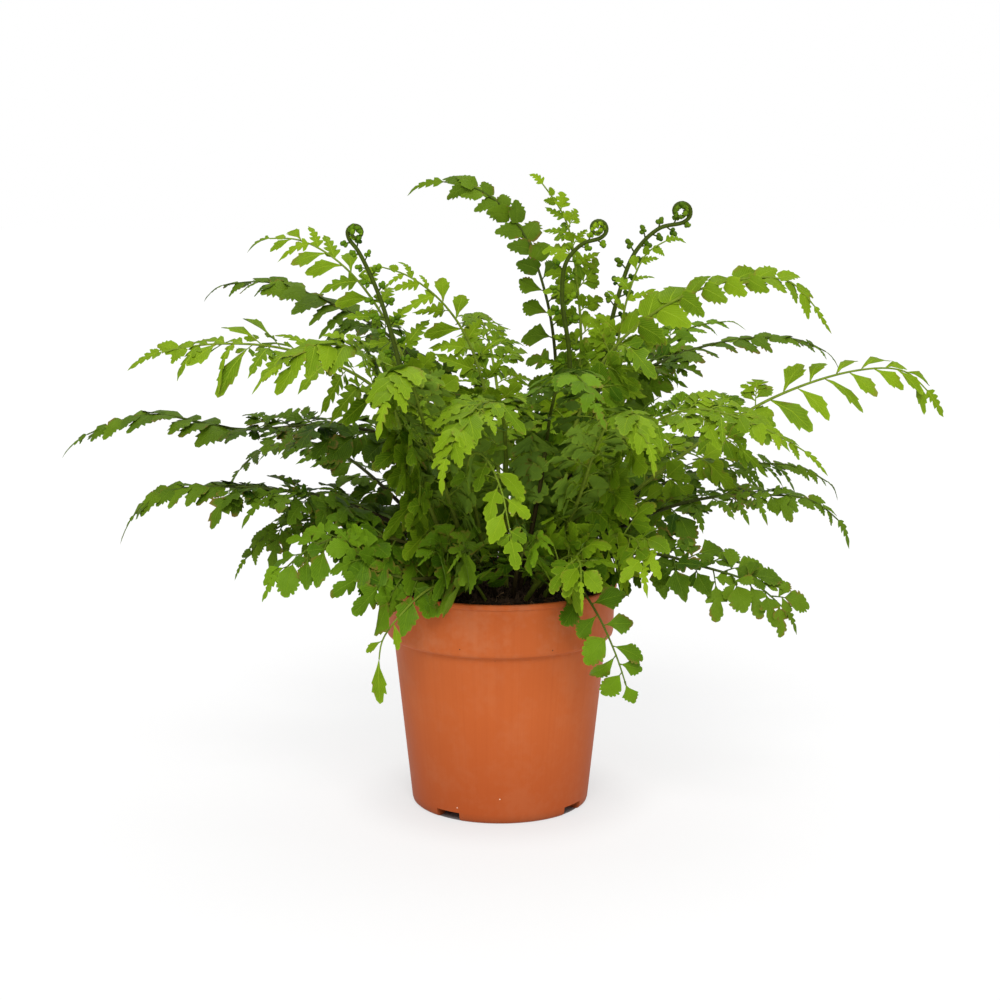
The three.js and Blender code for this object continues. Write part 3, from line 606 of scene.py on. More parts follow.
# A pinna is one unit long: a rib with alternate leaflets and one at its end.
def makePinnaTree():
    tree, given = newTree("pinna", "GeometryNodeTree", {
        "Geometry": "Geometry", "leaflets": "Collection", "tips": "Collection", "pairs": 2, "stalk": 0.15,
        "leafletShare": 0.3, "tipShare": 0.4, "swing": 0.9, "taper": 0.3, "bow": 0.05, "ribRadius": 0.02,
        "ribOverlap": 0.04, "seed": 1}, {"Geometry": "Geometry"})
    seed, sway = given["seed"], pinnaSway
    index = addNode(tree, "GeometryNodeInputIndex")[0]
    count = given["pairs"] * 2
    share = index / calc("MAXIMUM", count, 1)
    side = index % 2 * 2 - 1
    ribEnd = 1.0 - given["tipShare"]
    points = pointsAt(count, combined(0.0, lerp(share, given["stalk"], ribEnd), 0.0))
    points = stored(points, {"leafletTint": draw(0.0, 1.0, seed)})
    swing = given["swing"] * lerp(share, 1.0, sway["lastSwing"]) + draw(*sway["swing"], seed + 1)
    tipHeight = draw(*sway["tipHeight"], seed + 2)
    along = combined(calc("SINE", swing) * side, calc("COSINE", swing), tipHeight)
    up = combined(draw(*sway["tilt"], seed + 3), draw(*sway["nod"], seed + 4), 1.0)
    size = given["leafletShare"] * (1.0 - share * given["taper"]) * draw(*sway["size"], seed + 5)
    leaflets = planted(points, given["leaflets"], anyIndex(seed), size, turnedTo(along, up))
    endPoint = stored(pointsAt(1, combined(0.0, ribEnd, 0.0)), {"leafletTint": 0.3})
    endLeaf = planted(endPoint, given["tips"], seed, given["tipShare"])
    # The rib starts inside the frond's stem and ends inside the last leaflet.
    ribTop = combined(0.0, ribEnd + given["ribOverlap"], 0.0)
    rib = addNode(tree, "GeometryNodeCurvePrimitiveLine", {0: (0, -0.03, 0), 1: ribTop})[0]
    rib = addNode(tree, "GeometryNodeResampleCurve", {"Curve": rib, "Count": 4})[0]
    onward = addNode(tree, "GeometryNodeSplineParameter")[0]
    rib = stored(rib, {"stemAlong": lerp(onward, 0.8, 1.0), "stemPart": 1.0})
    whole = joined(leaflets, endLeaf, tube(rib, given["ribRadius"] * lerp(onward, 1.0, 0.6), 5))
    forward = separated(addNode(tree, "GeometryNodeInputPosition")[0])[1]
    whole = stored(whole, {"along": addNode(tree, "ShaderNodeClamp", {0: forward})[0]})
    whole = moved(whole, combined(forward * forward * given["bow"], 0.0, 0.0))
    addNode(tree, "NodeGroupOutput", {"Geometry": whole})
    return tree


# Each kind has classes of growing length, (pairs, tipShare, leafletShare, leaf at the end), each in a few
# drawn variants. shortest: the length in mm where the second class starts. step: how much longer each is.
pinnaLooks = {
    "cut": {"leaflets": "cutLeaflets", "shortest": 9.0, "step": 5.2, "swing": 0.9, "rib": 0.38, "stalk": 0.12,
            "classes": ((0, 0.94, 0.4, "cutEnds"), (0, 0.94, 0.4, "cutTips"), (1, 0.76, 0.52, "cutTips"),
                        (2, 0.64, 0.47, "cutTips"), (3, 0.54, 0.43, "cutTips"))},
    "fan": {"leaflets": "fanLeaflets", "shortest": 13.0, "step": 6.5, "swing": 1.05, "rib": 0.42,
            "stalk": 0.16,
            "classes": ((0, 0.9, 0.4, "fanEnds"), (0, 0.88, 0.4, "fanEnds"), (0, 0.86, 0.5, "fanTips"),
                        (1, 0.64, 0.52, "fanTips"), (2, 0.56, 0.46, "fanTips"))},
    "bud": {"leaflets": "knobs", "shortest": 4.6, "step": 2.2, "swing": 0.9, "rib": 0.5, "stalk": 0.4,
            "classes": ((0, 0.72, 0.4, "knobs"), (1, 0.5, 0.42, "knobs"), (1, 0.42, 0.36, "knobs"),
                        (2, 0.34, 0.3, "knobs"), (3, 0.28, 0.26, "knobs"))},
    "broad": {"leaflets": "broadLeaflets", "shortest": 12.0, "step": 5.0, "swing": 1.1, "rib": 0.45,
              "stalk": 0.2,
              "classes": ((0, 0.86, 0.4, "broadEnds"), (0, 0.84, 0.4, "broadEnds"),
                          (1, 0.64, 0.5, "broadEnds"), (1, 0.62, 0.54, "broadEnds"),
                          (2, 0.52, 0.44, "broadEnds"))},
    "wing": {"leaflets": "wings", "shortest": 6.0, "step": 4.0, "swing": 0.8, "rib": 0.3, "stalk": 0.1,
             "classes": ((0, 1.0, 0.4, "wings"),) * 5},
    "slim": {"leaflets": "cutLeaflets", "shortest": 9.0, "step": 6.0, "swing": 0.8, "rib": 0.34,
             "stalk": 0.12,
             "classes": ((0, 0.96, 0.4, "slimEnds"),) * 3 + ((1, 0.8, 0.3, "slimEnds"),
                                                             (2, 0.7, 0.26, "slimEnds"))},
    "strap": {"leaflets": "straps", "shortest": 9.0, "step": 6.0, "swing": 0.6, "rib": 0.3, "stalk": 0.1,
              "classes": ((0, 0.95, 0.4, "straps"),) * 5},
    "end": {"leaflets": "wings", "shortest": 9.0, "step": 6.0, "swing": 0.6, "rib": 0.3, "stalk": 0.06,
            "classes": ((0, 1.0, 0.4, "frondEnds"), (0, 1.0, 0.4, "frondEnds"), (1, 0.88, 0.34, "frondEnds"),
                        (2, 0.84, 0.34, "frondEnds"), (2, 0.8, 0.34, "frondEnds"))},
}
variants = 4
variantBow = 0.07  # how much more each variant bends sideways than the one before


def makePinnae(tree, leaflets):
    pieces = []
    for number, look in enumerate(pinnaLooks.values()):
        for size, (pairs, tipShare, leafletShare, ends) in enumerate(look["classes"]):
            length = look["shortest"] + look["step"] * (size - 0.5)
            for variant in range(variants):
                values = {
                    "leaflets": leaflets[look["leaflets"]], "tips": leaflets[ends], "pairs": pairs,
                    "stalk": look["stalk"], "tipShare": tipShare, "leafletShare": leafletShare,
                    "swing": look["swing"], "bow": variantBow * (variant - (variants - 1) / 2),
                    "ribRadius": look["rib"] / length, "seed": 100 * size + 11 * variant + number}
                start = bpy.data.meshes.new("start")
                pieces.append(grown(f"pinna_{number}_{size}_{variant}", start, tree, values))
    return newShelf("pinnae", pieces)


# How a blade changes on its way up, in shares, and how unevenly its pinnae stand: the ranges of their size
# and sag, of what is added to their swing and lift in radians, and of how far they roll.
bladeShape = {"lastPair": 0.975, "closing": 0.35, "footSize": 0.72, "swelling": 1.6, "taperPower": 1.25,
              "coilSize": 1.05, "swingLoss": 0.5, "ripples": 70.0, "stemSides": 7}
bladeSway = {"size": (0.84, 1.12), "swing": (-0.16, 0.16), "lift": (-0.26, 0.26), "roll": (-0.5, 0.5),
             "sag": (0.5, 1.5)}


# A frond: pinnae in turn on both sides of its route, a last one at its tip, and its stem. Lengths are in
# metres and angles in radians. rise runs from 0 at the lowest pinna to almost 1 at the tip.
def makeFrondTree():
    tree, given = newTree("frond", "GeometryNodeTree", {
        "Geometry": "Geometry", "pinnae": "Collection", "pairs": 8, "bare": 0.3, "reach": 0.03, "taper": 0.74,
        "tipLength": 0.01, "sky": (0, 0, 1), "swing": 1.08, "lift": 0.17, "sag": 0.3, "stipeRadius": 0.001,
        "tipRadius": 0.0005, "segment": 0.003, "classes": 5, "variants": 4, "kind": 0, "shortest": 0.009,
        "step": 0.005, "broadUntil": 0.0, "broadKind": 3, "broadSize": 1.0, "wingFrom": 2.0, "wingKind": 4,
        "wingSize": 0.6, "tipKind": 5, "coilFrom": 2.0, "inward": 1.0, "wave": 0.002, "stemStart": 0.0,
        "seed": 1, "leaf": "Material", "stem": "Material"}, {"Geometry": "Geometry"})
    seed, bare, shape, sway = given["seed"], given["bare"], bladeShape, bladeSway
    route = addNode(tree, "GeometryNodeMeshToCurve", {0: given["Geometry"]})[0]
    route = addNode(tree, "GeometryNodeResampleCurve", {"Curve": route, "Length": given["segment"]},
                    mode="LENGTH")[0]
    index = addNode(tree, "GeometryNodeInputIndex")[0]
    count = given["pairs"] * 2
    isTip = calc("COMPARE", index, count, 0.1)
    rise = index / count * shape["lastPair"]
    # The pinnae stand closer towards the tip, and the last one is on it.
    spot = rise * (1.0 + shape["closing"] - rise * shape["closing"])
    spot = calc("MAXIMUM", bare + spot * (1.0 - bare), isTip)
    at = addNode(tree, "GeometryNodeSampleCurve", {"Curves": route, "Factor": spot}, mode="FACTOR")
    ahead = at["Tangent"]
    right = vector("NORMALIZE", vector("CROSS_PRODUCT", ahead, given["sky"]))
    up = vector("CROSS_PRODUCT", right, ahead)
    inCoil = spot > given["coilFrom"]
    side = lerp(inCoil, index % 2 * 2 - 1, given["inward"])
    isBroad = rise < given["broadUntil"]
    isWing = rise > given["wingFrom"]
    swell = calc("MINIMUM", 1.0, shape["footSize"] + rise * shape["swelling"])
    loss = 1.0 - given["taper"] * calc("POWER", rise, shape["taperPower"])
    length = given["reach"] * swell * (loss * draw(*sway["size"], seed + 1))
    length = length * lerp(isBroad, 1.0, given["broadSize"]) * lerp(isWing, 1.0, given["wingSize"])
    length = lerp(isTip, length * lerp(inCoil, 1.0, shape["coilSize"]), given["tipLength"])
    swing = given["swing"] - rise * rise * shape["swingLoss"] + draw(*sway["swing"], seed + 2)
    swing = swing * (1.0 - isTip)
    lift = given["lift"] + draw(*sway["lift"], seed + 3)
    outward = vector("ADD", scaled(right, side * calc("COSINE", lift)), scaled(up, calc("SINE", lift)))
    along = vector("ADD", scaled(ahead, calc("COSINE", swing)), scaled(outward, calc("SINE", swing)))
    roll = scaled(vector("CROSS_PRODUCT", along, up), draw(*sway["roll"], seed + 4))
    # The darkening towards the frond's foot stands for age and for painted shade deep in the plant.
    points = stored(pointsAt(count + 1, at["Position"]), {
        "pinnaLength": length, "pinnaSag": given["sag"] * draw(*sway["sag"], seed + 5),
        "pinnaTint": draw(0.0, 1.0, seed + 6), "pinnaAgeAndShade": 1.0 - rise})
    # The pinna's class by its length, and its kind by how far up it grows.
    size = calc("FLOOR", (length - given["shortest"]) / given["step"]) + 1.0
    size = calc("MINIMUM", calc("MAXIMUM", size, 0.0), given["classes"] - 1)
    kind = lerp(isBroad, given["kind"], given["broadKind"])
    kind = lerp(isWing, kind, given["wingKind"])
    kind = lerp(isTip, kind, given["tipKind"])
    variant = calc("FLOOR", draw(0.0, 0.999, seed + 7) * given["variants"])
    choice = (kind * given["classes"] + size) * given["variants"] + variant
    facing = vector("ADD", up, roll)
    leaves = realised(planted(points, given["pinnae"], choice, length, turnedTo(along, facing)))
    # Each pinna sags with the square of the way out, and its blades wave a little.
    out = named(tree, "along")
    drop = out * out * named(tree, "pinnaSag") * named(tree, "pinnaLength")
    ripple = noisy(addNode(tree, "GeometryNodeInputPosition")[0], shape["ripples"], 1.0)["Color"]
    ripple = scaled(vector("SUBTRACT", ripple, (0.5, 0.5, 0.5)), out * given["wave"])
    leaves = moved(leaves, vector("ADD", combined(0.0, 0.0, drop * -1.0), ripple))
    onward = addNode(tree, "GeometryNodeSplineParameter")[0]
    stem = stored(route, {"stemAlong": lerp(onward, given["stemStart"], 1.0), "stemPart": 1.0})
    stem = tube(stem, lerp(onward, given["stipeRadius"], given["tipRadius"]), shape["stemSides"])
    whole = painted(joined(leaves, stem), given["leaf"])
    whole = painted(whole, given["stem"], named(tree, "stemPart") > 0.5)
    addNode(tree, "NodeGroupOutput", {"Geometry": whole})
    return tree


# node: (tone, leaf, reach mm, pairs, bare, facing degrees, route of the frame's own frond in mm).
# pairs, bare and reach are for a sparse frond; frondBody says how much fuller a real one is.
fronds = {
    "frond_far_left": ("dark", "cut", 33, 12, 0.3, 10, [
        (-8, -3, 109), (-26, -7, 174), (-74, -12, 197), (-130, -20, 197), (-175, -26, 205),
        (-213, -30, 192)]),
    "frond_low_left": ("dark", "cut", 31, 10, 0.3, 12, [
        (-22, -10, 109), (-42, -19, 141), (-79, -30, 162), (-128, -38, 171), (-168, -44, 168),
        (-182, -46, 155)]),
    "frond_left_light": ("light", "slim", 37, 11, 0.3, 34, [
        (-13, -9, 109), (-30, -22, 172), (-61, -44, 221), (-100, -62, 241), (-134, -74, 245),
        (-165, -84, 241)]),
    "frond_upper_left": ("dark", "cut", 29, 10, 0.42, 16, [
        (-9, 8, 109), (-24, 17, 180), (-50, 34, 231), (-90, 52, 254), (-124, 62, 264), (-155, 68, 261)]),
    "frond_top_left": ("light", "slim", 29, 8, 0.42, 50, [
        (-13, 3, 109), (-32, 6, 174), (-55, 12, 242), (-78, 17, 274), (-101, 21, 288), (-123, 24, 289)]),
    "frond_inner_left": ("light", "slim", 28, 7, 0.4, 60, [
        (1, 10, 109), (-2, 21, 180), (-14, 17, 232), (-28, 11, 256), (-46, 6, 271), (-63, 2, 277)]),
    "frond_lean_left": ("light", "cut", 34, 9, 0.3, 30, [
        (-15, -14, 109), (-38, -40, 170), (-52, -70, 219), (-64, -92, 243), (-82, -110, 248),
        (-104, -124, 238)]),
    "frond_side_left": ("mid", "broad", 28, 4, 0.36, 62, [
        (-14, -20, 109), (-25, -35, 124), (-46, -52, 128), (-64, -62, 138), (-76, -68, 154)]),
    "frond_drop_left": ("mid", "broad", 27, 5, 0.3, 45, [
        (-19.5, -17, 109), (-36, -32, 136), (-64, -50, 149), (-90, -62, 146), (-112, -70, 128)]),
    "frond_twist_left": ("dark", "cut", 25, 8, 0.3, 45, [
        (-20, -4, 109), (-43, -8, 138), (-78, -10, 149), (-112, -13, 146), (-134, -15, 124)]),
    "frond_rim_left": ("light", "strap", 12, 3, 0.42, 70, [
        (-6, -24.5, 109), (-14, -36, 122), (-34, -52, 123), (-49, -61, 111), (-57, -65, 100),
        (-59, -67, 88)]),
    "frond_top_dark": ("dark", "fan", 18, 9, 0.44, 66, [
        (9, 12.5, 109), (27, 21, 172), (29, 25, 222), (23, 29, 262), (9, 32, 296), (-12, 33, 314),
        (-34, 34, 318)]),
    "frond_top_light": ("light", "cut", 26, 8, 0.42, 74, [
        (11, 7, 109), (33, 10, 172), (41, 9, 228), (39, 7, 267), (33, 5, 299), (17, 2, 323)]),
    "frond_tip_right": ("light", "slim", 24, 7, 0.44, 66, [
        (14, -6, 109), (40, -7, 172), (57, -13, 233), (64, -18, 266), (72, -21, 284), (84, -24, 292)]),
    "frond_arch_right": ("light", "cut", 29, 9, 0.34, 44, [
        (9, -5, 109), (33, -14, 184), (51, -22, 231), (80, -31, 259), (112, -38, 272), (139, -42, 272),
        (155, -45, 256)]),
    "frond_arch_dark": ("dark", "cut", 26, 10, 0.36, 14, [
        (17, 9, 109), (38, 19, 170), (60, 29, 210), (92, 41, 227), (127, 49, 235), (158, 55, 234),
        (178, 59, 225)]),
    "frond_long_right": ("light", "cut", 30, 10, 0.3, 52, [
        (19, -3, 109), (48, -9, 145), (95, -16, 186), (137, -18, 213), (179, -15, 226), (202, -13, 225),
        (217, -12, 212)]),
    "frond_bow_right": ("dark", "cut", 26, 9, 0.3, 18, [
        (24, 5, 109), (52, 16, 143), (92, 32, 163), (130, 44, 169), (160, 51, 166), (180, 56, 155)]),
    "frond_low_right": ("dark", "cut", 26, 8, 0.3, 22, [
        (24.5, -2, 109), (56, -19, 144), (94, -34, 163), (127, -44, 168), (152, -50, 166), (168, -54, 154)
       ]),
    "frond_side_right": ("dark", "broad", 22, 6, 0.32, 50, [
        (24, -8.5, 109), (46, -28, 131), (73, -50, 140), (97, -66, 137), (122, -76, 130), (140, -82, 115)]),
    "frond_light_right": ("light", "cut", 31, 8, 0.32, 34, [
        (18, -9, 109), (42, -28, 158), (66, -52, 199), (92, -72, 214), (121, -88, 208), (147, -98, 194)]),
    "frond_mid_right": ("mid", "cut", 30, 8, 0.36, 38, [
        (22, 11.5, 109), (44, 30, 160), (70, 48, 210), (98, 62, 238), (129, 74, 243)]),
    "frond_rim_right": ("mid", "fan", 17, 4, 0.34, 78, [
        (17, -19, 109), (25, -34, 123), (37, -51, 125), (47, -63, 113), (56, -69, 94), (62, -70, 76)]),
    "frond_nod": ("light", "broad", 14, 4, 0.46, 60, [
        (-3, -14, 109), (-12, -36, 158), (-15, -62, 188), (-8, -84, 194), (0, -100, 182), (5, -108, 160)]),
    "frond_face_left": ("light", "cut", 31, 8, 0.32, 10, [
        (-9, -14, 109), (-25, -36, 164), (-36, -64, 205), (-42, -90, 232), (-46, -116, 236),
        (-52, -139, 222)]),
    "frond_face_right": ("light", "cut", 30, 8, 0.34, 8, [
        (14, -14, 109), (36, -38, 158), (46, -62, 194), (53, -86, 213), (60, -110, 215), (68, -130, 202)]),
    "frond_peak": ("mid", "cut", 28, 7, 0.34, 12, [
        (9, -13, 109), (20, -34, 172), (25, -58, 214), (30, -82, 232), (37, -106, 232), (44, -126, 220)]),
    "frond_lean_front": ("light", "cut", 31, 8, 0.32, 10, [
        (3, -10, 109), (3, -38, 186), (0, -66, 214), (-8, -94, 220), (-18, -120, 212), (-26, -138, 196)]),
    "frond_fan_left": ("mid", "broad", 27, 3.4, 0.34, 72, [
        (-9, -20, 109), (-14, -31, 129), (-26, -54, 142), (-34, -76, 145)]),
    "frond_fan_low": ("dark", "broad", 27, 3.4, 0.34, 72, [
        (-1, -21, 109), (-7, -42, 130), (-14, -64, 144), (-20, -86, 147)]),
    "frond_fan_mid": ("mid", "broad", 27, 3.4, 0.34, 72, [
        (6, -21, 109), (9, -42, 132), (14, -64, 149), (20, -84, 153)]),
    "frond_fan_right": ("light", "broad", 26, 3.4, 0.34, 70, [
        (12, -21.5, 109), (22, -40, 127), (33, -58, 140), (38, -78, 141), (38, -92, 132)]),
    "frond_fan_corner": ("light", "broad", 27, 3.4, 0.34, 70, [
        (21, -14, 109), (38, -34, 134), (56, -54, 150), (66, -74, 150), (68, -92, 138)]),
    "frond_back_left": ("mid", "cut", 31, 8, 0.3, -8, [
        (-5, 17, 109), (-20, 38, 172), (-50, 78, 222), (-82, 116, 236), (-106, 138, 220)]),
    "frond_back_mid": ("light", "cut", 30, 8, 0.32, -10, [
        (3, 17, 109), (2, 42, 176), (-6, 84, 230), (-14, 118, 242), (-20, 143, 226)]),
    "frond_back_right": ("light", "cut", 31, 8, 0.3, -8, [
        (12, 18, 109), (25, 42, 168), (52, 80, 218), (80, 112, 227), (101, 134, 208)]),
    "frond_back_low_right": ("dark", "cut", 30, 8, 0.28, 0, [
        (18, 17, 109), (46, 38, 144), (88, 66, 173), (122, 90, 174), (145, 106, 156)]),
    "frond_back_low_left": ("dark", "cut", 30, 8, 0.28, 0, [
        (-16, 17.5, 109), (-48, 38, 144), (-92, 68, 174), (-128, 90, 171), (-150, 104, 152)]),
    "frond_back_drop": ("dark", "cut", 27, 7, 0.3, -30, [
        (1, 24, 109), (-8, 52, 138), (-17, 88, 157), (-25, 114, 150), (-29, 130, 131)]),
    "frond_back_fan": ("mid", "fan", 22, 4, 0.36, -35, [
        (8, 23.5, 109), (26, 56, 138), (44, 88, 151), (56, 112, 140), (60, 125, 121)]),
    "frond_back_rim": ("light", "fan", 15, 3, 0.4, -70, [
        (-7, 23.5, 109), (-16, 38, 123), (-36, 53, 125), (-46, 66, 112), (-51, 73, 94), (-50, 77, 80)]),
    "crozier_left": ("mid", "bud", 9, 9, 0.72, 80, [
        (-14, -3, 109), (-36, -13, 169), (-44, -12, 200), (-51, -10, 231), (-60, -9, 262), (-70, -9, 284),
        (-75, -9, 291)]),
    "crozier_middle": ("light", "bud", 9, 8, 0.74, 80, [
        (10, 1, 109), (32, 1, 173), (35, -3, 230), (31, -5, 262), (33, -7, 279), (41, -8, 288),
        (50, -8, 291)]),
    "crozier_right": ("dark", "bud", 10, 10, 0.6, 76, [
        (16, 3, 109), (42, 6, 169), (53, 6, 232), (60, 6, 262), (68, 6, 283), (80, 6, 295), (92, 6, 298)]),
}
# A crozier's coil: radius in mm, turns, and its side as seen from the front.
coils = {
    "crozier_left": {"radius": 4.4, "turns": 1.3, "towards": 1},
    "crozier_middle": {"radius": 4.9, "turns": 1.3, "towards": -1},
    "crozier_right": {"radius": 5.6, "turns": 1.3, "towards": -1},
}
never = 2.0  # a share past the end of any frond
# What the fronds have in common: lengths in mm, angles in degrees, the rest in shares.
frondBody = {"stipeRadius": 1.45, "tipRadius": 0.36, "segment": 3.0, "wave": 3.0, "swing": 60, "lift": 8,
             "sag": 0.3, "taper": 0.7, "broadUntil": 0.36, "broadSize": 0.92, "wingFrom": 0.74,
             "wingSize": 0.58, "fullness": 1.85, "bareShare": 0.3, "spread": 1.2, "tipLeaf": 0.44,
             "smallestTip": 11.0, "tipTaken": 2, "youngStart": 0.35, "perSpan": 8}
coiledBody = frondBody | {"tipRadius": 1.0, "segment": 1.3, "wave": 0.0, "sag": 0.0, "taper": 0.6,
                          "broadUntil": 0.0, "tipLength": 3.0, "coilSteps": 7, "coilStepBack": 0.25,
                          "coilClosing": 0.66}
# Fronds that differ from the rest, by the inputs of their tree: lengths in metres, swing in radians.
habits = {
    "frond_top_dark": {"wingFrom": 0.55, "wingSize": 0.95, "tipLength": 0.02, "tipKind": "slim",
                       "taper": 0.45},
    "frond_far_left": {"wingFrom": 0.55, "wingSize": 0.78},
    "frond_low_left": {"wingFrom": 0.6, "wingSize": 0.75},
    "frond_upper_left": {"wingFrom": 0.55, "wingSize": 0.85},
    "frond_left_light": {"wingFrom": 0.9},
    "frond_top_left": {"wingFrom": 0.92},
    "frond_inner_left": {"wingFrom": 0.92},
    "frond_top_light": {"wingFrom": 0.9},
    "frond_tip_right": {"wingFrom": 0.9},
    "frond_long_right": {"wingFrom": 0.5, "wingKind": "strap", "wingSize": 0.78, "pairs": 14, "taper": 0.5},
    "frond_face_left": {"wingFrom": 0.7, "wingSize": 0.9},
    "frond_face_right": {"wingFrom": 0.7, "wingSize": 0.9},
    "frond_lean_left": {"wingFrom": 0.72, "wingSize": 0.85},
    "frond_lean_front": {"wingFrom": 0.72, "wingSize": 0.85},
    "frond_peak": {"wingFrom": 0.7, "wingSize": 0.85},
    "frond_fan_low": {"bare": 0.34, "sag": 0.48},
    "frond_fan_mid": {"bare": 0.28, "sag": 0.55},
    "frond_fan_left": {"bare": 0.34, "sag": 0.36},
    "frond_fan_right": {"bare": 0.36, "sag": 0.3},
    "frond_fan_corner": {"bare": 0.3, "sag": 0.35},
    "frond_side_left": {"bare": 0.38, "sag": 0.2},
    "frond_arch_right": {"wingFrom": 0.45, "wingSize": 0.8},
    "frond_arch_dark": {"wingFrom": 0.5, "wingSize": 0.72},
    "frond_rim_right": {"pairs": 6, "bare": 0.3, "reach": 0.018, "taper": 0.3, "tipLength": 0.012,
                        "broadUntil": 0.0, "tipKind": "broad", "swing": 1.3, "sag": 0.05,
                        "stipeRadius": 0.001},
    "frond_rim_left": {"pairs": 2, "bare": 0.5, "reach": 0.009, "taper": 0.1, "tipLength": 0.016,
                       "broadUntil": 0.0, "stipeRadius": 0.0009},
    "frond_nod": {"pairs": 5, "bare": 0.5, "taper": 0.2, "tipLength": 0.017, "tipKind": "broad"},
    "frond_side_right": {"taper": 0.4, "bare": 0.2, "sag": 0.2},
    "crozier_left": {"pairs": 12, "bare": 0.55},
    "crozier_middle": {"pairs": 10, "bare": 0.55},
    "crozier_right": {"pairs": 14, "bare": 0.5},
}


def coilPoints(route, coil):
    body = coiledBody
    start, before = Vector(route[-1]), Vector(route[-2])
    heading = math.atan2(start.z - before.z, start.x - before.x)
    perTurn = body["coilSteps"]
    steps = round(coil["turns"] * perTurn)
    toCentre = heading - coil["towards"] * math.pi / 2
    centre = start + coil["radius"] * Vector((math.cos(toCentre), 0, math.sin(toCentre)))
    points = []
    for k in range(1, steps + 1):
        turn = toCentre + math.pi - coil["towards"] * k * 2 * math.pi / perTurn
        radius = coil["radius"] * (1 - body["coilClosing"] * k / steps)
        away = Vector((math.cos(turn) * radius, -body["coilStepBack"] * k, math.sin(turn) * radius))
        points.append(centre + away)
    return points


# Points of a centripetal Catmull-Rom curve through the route, its ends carried on in a straight line.
def smoothRoute(route, perSpan):
    points = [Vector(point) for point in route]
    points = [2 * points[0] - points[1]] + points + [2 * points[-1] - points[-2]]
    result = [points[1]]
    for a, b, c, d in zip(points, points[1:], points[2:], points[3:]):
        before, span, after = [math.sqrt((q - p).length) for p, q in ((a, b), (b, c), (c, d))]
        leave = ((b - a) / before - (c - a) / (before + span) + (c - b) / span) * span
        arrive = ((c - b) / span - (d - b) / (span + after) + (d - c) / after) * span
        for k in range(1, perSpan + 1):
            t = k / perSpan
            result.append(b + leave * t + (3 * (c - b) - 2 * leave - arrive) * t * t
                          + (2 * (b - c) + leave + arrive) * t ** 3)
    return result


def makeFrond(name, number, tree, pinnae):
    tone, leaf, reach, pairs, bare, facing, route = fronds[name]
    coil = coils.get(name)
    body = coiledBody if coil else frondBody
    look = pinnaLooks[leaf]
    turn = math.radians(facing)
    values = {
        "pinnae": pinnae, "classes": len(look["classes"]), "variants": variants,
        "shortest": look["shortest"] * mm, "step": look["step"] * mm, "kind": leaf,
        "broadKind": "broad", "wingKind": "wing", "tipKind": leaf if leaf in ("bud", "strap") else "end",
        "taper": body["taper"], "sag": body["sag"], "broadUntil": body["broadUntil"],
        "broadSize": body["broadSize"], "wingSize": body["wingSize"],
        "wingFrom": body["wingFrom"] if leaf in ("cut", "slim") else never,
        "sky": (0.0, -math.sin(turn), math.cos(turn)), "swing": math.radians(body["swing"]),
        "lift": math.radians(body["lift"]), "stipeRadius": body["stipeRadius"] * mm,
        "tipRadius": body["tipRadius"] * mm, "segment": body["segment"] * mm, "wave": body["wave"] * mm,
        "stemStart": body["youngStart"] if tone == "light" else 0.0, "seed": 10 * number,
        "leaf": leafMaterials[tone], "stem": stemMaterials["coiled" if coil else tone]}
    if coil:
        points = smoothRoute(route + coilPoints(route, coil), body["perSpan"])
        spans = [(b - a).length for a, b in zip(points, points[1:])]
        values["coilFrom"] = sum(spans[:body["perSpan"] * (len(route) - 1)]) / sum(spans)
        values["inward"] = float(coil["towards"])
        values |= {"pairs": pairs, "bare": bare, "reach": reach * mm, "tipLength": body["tipLength"] * mm}
    else:
        points = smoothRoute(route, body["perSpan"])[:-body["tipTaken"]]
        values |= {"pairs": round(pairs * body["fullness"]), "bare": bare * body["bareShare"],
                   "reach": reach * body["spread"] * mm,
                   "tipLength": max(body["smallestTip"], reach * body["tipLeaf"]) * mm}
    values |= habits.get(name, {})
    for key in ("kind", "broadKind", "wingKind", "tipKind"):
        values[key] = list(pinnaLooks).index(values[key])  # the place of the kind on the shelf
    start = bpy.data.meshes.new("route")
    start.from_pydata([point * mm for point in points], [(k, k + 1) for k in range(len(points) - 1)], [])
    piece = grown(name + "_leafy", start, tree, values)
    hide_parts(name)
    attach(piece, "root")
    return piece


def makeFronds():
    leaflets = makeLeaflets()
    pinnae = makePinnae(makePinnaTree(), leaflets)
    frondTree = makeFrondTree()
    made = [makeFrond(name, number, frondTree, pinnae) for number, name in enumerate(fronds)]
    for kept in [pinnae] + list(leaflets.values()):
        clearShelf(kept)
    print("fronds ready:", len(made), "with", sum(len(piece.data.polygons) for piece in made), "faces")


makeFronds()

# The pot's moulded shape in mm; its height and lip come from the frame.
pot = {"sides": 144, "lipHeight": 2.7, "lipOverhang": 1.0, "bandHeight": 27.6, "bandTaper": 0.7,
       "shoulder": 3.5, "footRadius": 45.4, "footInset": 2.6, "footRing": 3.4, "wall": 1.8, "floorUnder": 4.2,
       "wallRings": (7, 26, 46, 66), "sharpFrom": 40, "notches": 4, "notchWidth": 14.0, "notchHeight": 4.6,
       "notchDepth": 12.0, "notchTurn": 234.5, "drains": 6, "drainRadius": 3.6, "drainCircle": 27.0,
       "drainDepth": 12.0, "drainSides": 24}
